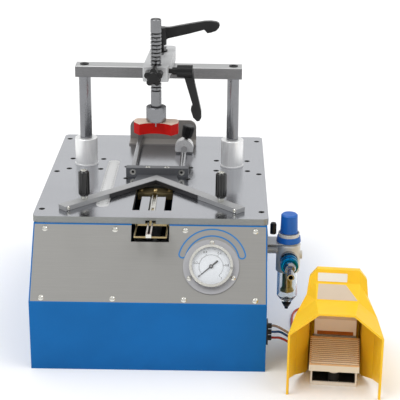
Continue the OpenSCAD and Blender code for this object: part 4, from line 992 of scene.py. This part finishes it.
class UNDERPINNER_OT_yoke(bpy.types.Operator):
    """Finish the two posts and the cross beam"""
    bl_idname = "underpinner.yoke"
    bl_label = "Posts and beam"

    def execute(self, context):
        dressed("post_left", "turned_steel", 0.0)
        dressed("post_right", "turned_steel", 0.0)
        dressed("cross_beam", "beam_steel", 0.0003)
        for sx, name in ((-1, "left"), (1, "right")):
            screw = flush_screw(0.0078, 0.0011)
            place = Matrix.Translation((sx * POST_X, POST_Y, BEAM_TOP))
            seat(screw, "beam_screw_" + name, "black_steel", "yoke", place)
            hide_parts("beam_screws")
        return {"FINISHED"}


class UNDERPINNER_OT_press_arm(bpy.types.Operator):
    """Finish the press arm with its rod, pad, levers and star knob"""
    bl_idname = "underpinner.press_arm"
    bl_label = "Press arm"

    def execute(self, context):
        finish_node("slot_block", "steel")
        dressed("press_arm", "arm_grey", 0.0008)
        dressed("arm_lever", "black_plastic", 0.0018, 3)
        dressed("notched_rod", "rod_steel", 0.0)
        dressed("pad_holder", "turned_steel", 0.0004)
        dressed("press_pad", "pad_red", 0.0012, 3)
        dressed("rod_lever", "black_plastic", 0.0018, 3)
        dressed("star_knob", "black_plastic", 0.0012, 3)
        return {"FINISHED"}


# ---------- fence ----------


class UNDERPINNER_OT_fence(bpy.types.Operator):
    """Finish the fence with its wings, guides, handles and stop"""
    bl_idname = "underpinner.fence"
    bl_label = "Fence"

    def execute(self, context):
        dressed("fence_block", "dark_steel", 0.0006)
        dressed("guide_rods", "bright_steel", 0.0)
        dressed("fence_wings", "steel", 0.0005)
        dressed("face_plates", "wing_black", 0.0002)
        dressed("fence_fasteners", "zinc", 0.0002)
        dressed("handle_left", "grip_black", 0.0003, 2, 40.0)
        dressed("handle_right", "grip_black", 0.0003, 2, 40.0)
        dressed("stop_collar", "bright_satin", 0.0005)
        dressed("thumb_screw", "black_plastic", 0.0004)
        self.darken_sockets()
        for name in ("left", "right"):
            cap = flush_screw(0.0052, 0.0012)
            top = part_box("handle_" + name)
            middle = (Vector(top[0]) + Vector(top[1])) / 2
            place = Matrix.Translation((middle.x, middle.y, top[1][2] - 0.0001))
            seat(cap, "handle_cap_" + name, "zinc", "handle_" + name, place)
        return {"FINISHED"}


    def darken_sockets(self):
        """Dark hexagonal pieces of painted shade on the socket floors of the block's two front and two top
        screws.
        """
        facing_front = Matrix.Rotation(math.pi / 2, 4, "X")
        floors = []
        for sx in (-1, 1):
            front = Matrix.Translation((sx * SCREW_FRONT[0], *SCREW_FRONT[1:])) @ facing_front
            top = Matrix.Translation((sx * SCREW_TOP[0], *SCREW_TOP[1:]))
            for place, radius in ((front, 0.0026), (top, 0.0021)):
                clear_selection()
                bpy.ops.mesh.primitive_circle_add(vertices=6, radius=radius, fill_type="NGON")
                floor = bpy.context.object
                edit()
                bpy.ops.mesh.select_all(action="SELECT")
                extrude(0.0, 0.0, 0.0012)
                bpy.ops.mesh.inset(thickness=0.0003)
                bpy.ops.transform.translate(value=(0.0, 0.0, -0.0002))
                outwards()
                floor.matrix_world = place @ floor.matrix_world
                fix_place()
                floors.append(floor)
        # the black hexagons are painted shade in the sockets
        seat(joined(floors), "fence_socket_shade", "black_steel", "fence")


# ---------- air unit ----------


class UNDERPINNER_OT_air_unit(bpy.types.Operator):
    """Finish the filter regulator, its bowl, the coupling and the bulkhead"""
    bl_idname = "underpinner.air_unit"
    bl_label = "Air unit"

    def execute(self, context):
        dressed("regulator_bracket", "steel", 0.0005)
        dressed("regulator_body", "regulator_white", 0.0008, 3)
        dressed("regulator_ring", "regulator_blue", 0.0006)
        dressed("regulator_knob", "regulator_blue", 0.0004)
        dressed("filter_bowl", "clear", 0.0005)
        dressed("filter_element", "brass", 0.0005)
        dressed("drain_valve", "black_plastic", 0.0004)
        dressed("coupling_body", "bright_steel", 0.0003)
        dressed("coupling_sleeve", "coupling_blue", 0.0006)
        dressed("hose_bulkhead", "black_plastic", 0.0005)
        collar = ring(0.0176, 0.0161, 0.0058)
        place = Matrix.Translation((*REGULATOR_AT, LOCK_RING_Z))
        seat(collar, "regulator_lock_ring", "regulator_white", "base", place)
        self.add_plug()
        return {"FINISHED"}

    def add_plug(self):
        """The black knurled plug on the bracket's plate."""
        clear_selection()
        bpy.ops.mesh.primitive_cylinder_add(vertices=24, radius=0.0052, depth=0.0165)
        plug = bpy.context.object
        edit()
        pick(plug, lambda c, n: n.z > 0.9)
        bpy.ops.mesh.inset(thickness=0.0009)
        extrude(0.0, 0.0, 0.0022)
        bpy.ops.mesh.inset(thickness=0.0022)
        extrude(0.0, 0.0, -0.0018)
        pick(plug, lambda c, n: abs(n.z) < 0.1 and c.z < 0.005)
        bpy.ops.mesh.inset(thickness=0.0004, use_individual=True)
        bpy.ops.mesh.extrude_region_shrink_fatten(TRANSFORM_OT_shrink_fatten={"value": -0.0003})
        outwards()
        round_edges(plug, 0.0002)
        seat(plug, "bracket_plug", "black_plastic", "base", Matrix.Translation(PLUG_AT))


# ---------- pedal ----------


class UNDERPINNER_OT_pedal(bpy.types.Operator):
    """Finish the foot pedal and its guard, and add the bare labels and the dark and brown pieces of painted
    shade
    """
    bl_idname = "underpinner.pedal"
    bl_label = "Foot pedal"

    def execute(self, context):
        dressed("pedal_base", "pedal_beige", 0.0005)
        dressed("pedal_valve", "pedal_beige", 0.0010)
        dressed("treadle", "treadle_tan", 0.0004)
        dressed("pedal_guard", "guard_yellow", 0.0010, 3, 12.0)
        self.stick_labels()
        self.fill_base()
        return {"FINISHED"}

    def stick_labels(self):
        """The bare label on the guard's upper face and the bare film on the sloping face under it."""
        tilt = Matrix.Rotation(math.atan2(19, 8), 4, "X")
        upper = PEDAL @ Matrix.Translation((-0.0087, 0.036, 0.161)) @ tilt
        label = card(0.0457, 0.0132, 0.00025, 0.0012)
        place = upper @ Matrix.Translation((0.0, 0.0084, 0.0))
        seat(label, "guard_label", "label_white", "base", place)
        tilt = Matrix.Rotation(math.atan2(19, 26), 4, "X")
        sloping = PEDAL @ Matrix.Translation((0.0, 0.010, 0.142)) @ tilt
        film = card(0.062, 0.0275, 0.0002, 0.0008)
        # the film narrows towards its upper edge
        edit()
        bpy.ops.mesh.select_all(action="DESELECT")
        leave()
        for corner in film.data.vertices:
            corner.select = corner.co.y > 0.0
        edit()
        bpy.ops.mesh.select_mode(type="VERT")
        bpy.ops.transform.resize(value=(0.69, 1.0, 1.0), center_override=(0.0, 0.0, 0.0))
        bpy.ops.transform.translate(value=(-0.0088, 0.0, 0.0))
        leave()
        place = sloping @ Matrix.Translation((0.0, 0.0158, 0.0))
        seat(film, "guard_film", "label_film", "base", place)

    def fill_base(self):
        """Painted shade as a dark liner and a dark sleeve round the post in the base's channel, the spring cup,
        and a brown strip of painted shadow under the valve's panel.
        """
        # painted shade: a dark liner on the floor and back wall of the base's channel
        shade_liner = card(0.066, 0.046, 0.0012, 0.004)
        edit()
        pick(shade_liner, lambda c, n: n.y > 0.9)
        extrude(0.0, 0.0012, 0.0)
        bpy.ops.mesh.select_all(action="DESELECT")
        pick(shade_liner, lambda c, n: n.z > 0.9 and c.y > 0.023)
        extrude(0.0, 0.0, 0.017)
        outwards()
        place = PEDAL @ Matrix.Translation((0.0, 0.0285, 0.0031))
        seat(shade_liner, "pedal_shade_liner", "shade_black", "base", place)
        # painted shade: a dark sleeve hides the lower part of the post
        sleeve = ring(0.0092, 0.0066, 0.0158)
        place = PEDAL @ Matrix.Translation((*SPRING_AT, 0.0044))
        seat(sleeve, "pedal_post_shade_sleeve", "shade_black", "base", place)
        cup = ring(0.0094, 0.0067, 0.0060)
        place = PEDAL @ Matrix.Translation((*SPRING_AT, 0.0206))
        seat(cup, "pedal_spring_cup", "pedal_beige", "base", place)
        # painted shadow: a brown strip, warm with the guard's reflected yellow, between the valve's panel and
        # the treadle
        shade_strip = card(0.058, 0.0064, 0.0004, 0.0008)
        upright = Matrix.Translation((0.0, 0.0645, 0.0605)) @ Matrix.Rotation(math.pi / 2, 4, "X")
        seat(shade_strip, "pedal_valve_shadow_strip", "shadow_brown", "base", PEDAL @ upright)


# ---------- stage ----------

CAMERA_AT = (0.11487, -2.01796, 0.94681)
CAMERA_YAW, CAMERA_PITCH, CAMERA_ROLL = 0.0023435, 0.3553184, -0.0162366


class UNDERPINNER_OT_camera(bpy.types.Operator):
    """Set the camera where the photograph was taken from"""
    bl_idname = "underpinner.camera"
    bl_label = "Camera"

    def execute(self, context):
        level_way = Vector((math.sin(CAMERA_YAW), math.cos(CAMERA_YAW), 0.0))
        look = math.cos(CAMERA_PITCH) * level_way - math.sin(CAMERA_PITCH) * Vector((0.0, 0.0, 1.0))
        right = Vector((math.cos(CAMERA_YAW), -math.sin(CAMERA_YAW), 0.0))
        down = look.cross(right)
        level = math.cos(CAMERA_ROLL) * right + math.sin(CAMERA_ROLL) * down
        sink = -math.sin(CAMERA_ROLL) * right + math.cos(CAMERA_ROLL) * down
        clear_selection()
        bpy.ops.object.camera_add()
        camera = bpy.context.object
        camera.name = camera.data.name = "photo_camera"
        turn = Matrix((level, -sink, -look)).transposed()
        camera.matrix_world = Matrix.Translation(CAMERA_AT) @ turn.to_4x4()
        camera.data.sensor_width = 36.0
        camera.data.lens = 36.0 * 1230.52 / 400
        camera.data.shift_x = -25.01 / 400
        camera.data.clip_start, camera.data.clip_end = 0.05, 60.0
        context.scene.camera = camera
        return {"FINISHED"}


class UNDERPINNER_OT_stage(bpy.types.Operator):
    """Lay the pale floor and set the soft lamps and the sky"""
    bl_idname = "underpinner.stage"
    bl_label = "Stage"

    def execute(self, context):
        s = context.scene.underpinner_stage
        clear_selection()
        bpy.ops.mesh.primitive_plane_add(size=s.floor_size, location=(0.0, 0.0, 0.0))
        floor = bpy.context.object
        floor.name = "pale_floor"
        made, tree, shader, place = material(
            "pale_floor", tint(250, 250, 250), 0.0, 0.95, Specular_IOR_Level=0.1,
        )
        weave = noise(tree, place, 3.0, 2.0)
        feed(shader, "Base Color", blended(tree, weave, tint(248, 248, 248), tint(252, 252, 252)))
        floor.data.materials.append(made)
        world = bpy.data.worlds.new("studio")
        context.scene.world = world
        world.use_nodes = True
        sky = world.node_tree
        direction = sky.nodes.new("ShaderNodeTexCoord").outputs["Generated"]
        way = node(sky, "ShaderNodeSeparateXYZ", {"Vector": direction}).outputs
        back = sky.nodes["Background"]
        back.inputs["Color"].default_value = (1.0, 1.0, 1.0, 1.0)
        overhead = spread(sky, way["Z"], s.horizon, s.world, 0.0, 0.9)
        backdrop = spread(sky, way["Y"], 0.0, s.behind, 0.1, 0.9)
        sky.links.new(sums(sky, "ADD", overhead, backdrop), back.inputs["Strength"])
        lamps = (("lamp_left", (-1.1, -0.6, 2.2), s.key), ("lamp_right", (1.3, -0.3, 2.2), s.fill))
        for name, at, strength in lamps:
            clear_selection()
            bpy.ops.object.light_add(type="SUN", location=at)
            lamp = bpy.context.object
            lamp.name = lamp.data.name = name
            lamp.data.energy = strength
            lamp.data.angle = math.radians(34)
            lamp.rotation_euler = (-Vector(at)).to_track_quat("-Z", "Y").to_euler()
        context.scene.view_settings.view_transform = "Standard"
        return {"FINISHED"}


STEPS = (
    UNDERPINNER_OT_camera, UNDERPINNER_OT_hoses, UNDERPINNER_OT_cabinet, UNDERPINNER_OT_band,
    UNDERPINNER_OT_table, UNDERPINNER_OT_nail_feed, UNDERPINNER_OT_gauge, UNDERPINNER_OT_yoke,
    UNDERPINNER_OT_press_arm, UNDERPINNER_OT_fence, UNDERPINNER_OT_air_unit, UNDERPINNER_OT_pedal,
    UNDERPINNER_OT_stage,
)


class UNDERPINNER_PT_parts(bpy.types.Panel):
    bl_label = "Underpinner"
    bl_idname = "UNDERPINNER_PT_parts"
    bl_space_type = "VIEW_3D"
    bl_region_type = "UI"
    bl_category = "Underpinner"

    def draw(self, context):
        for group in ("underpinner_colours", "underpinner_sizes", "underpinner_stage"):
            box = self.layout.box()
            values = getattr(context.scene, group)
            for name in values.__annotations__:
                box.prop(values, name)
        for step in STEPS:
            self.layout.operator(step.bl_idname)


GROUPS = (UnderpinnerColours, UnderpinnerSizes, UnderpinnerStage)
CLASSES = GROUPS + STEPS + (UNDERPINNER_PT_parts,)


def register():
    for made in CLASSES:
        bpy.utils.register_class(made)
    bpy.types.Scene.underpinner_colours = PointerProperty(type=UnderpinnerColours)
    bpy.types.Scene.underpinner_sizes = PointerProperty(type=UnderpinnerSizes)
    bpy.types.Scene.underpinner_stage = PointerProperty(type=UnderpinnerStage)


def unregister():
    del bpy.types.Scene.underpinner_stage
    del bpy.types.Scene.underpinner_sizes
    del bpy.types.Scene.underpinner_colours
    for made in reversed(CLASSES):
        bpy.utils.unregister_class(made)


def main():
    register()
    for step in STEPS:
        group, name = step.bl_idname.split(".")
        getattr(getattr(bpy.ops, group), name)()


if __name__ == "__main__":
    main()
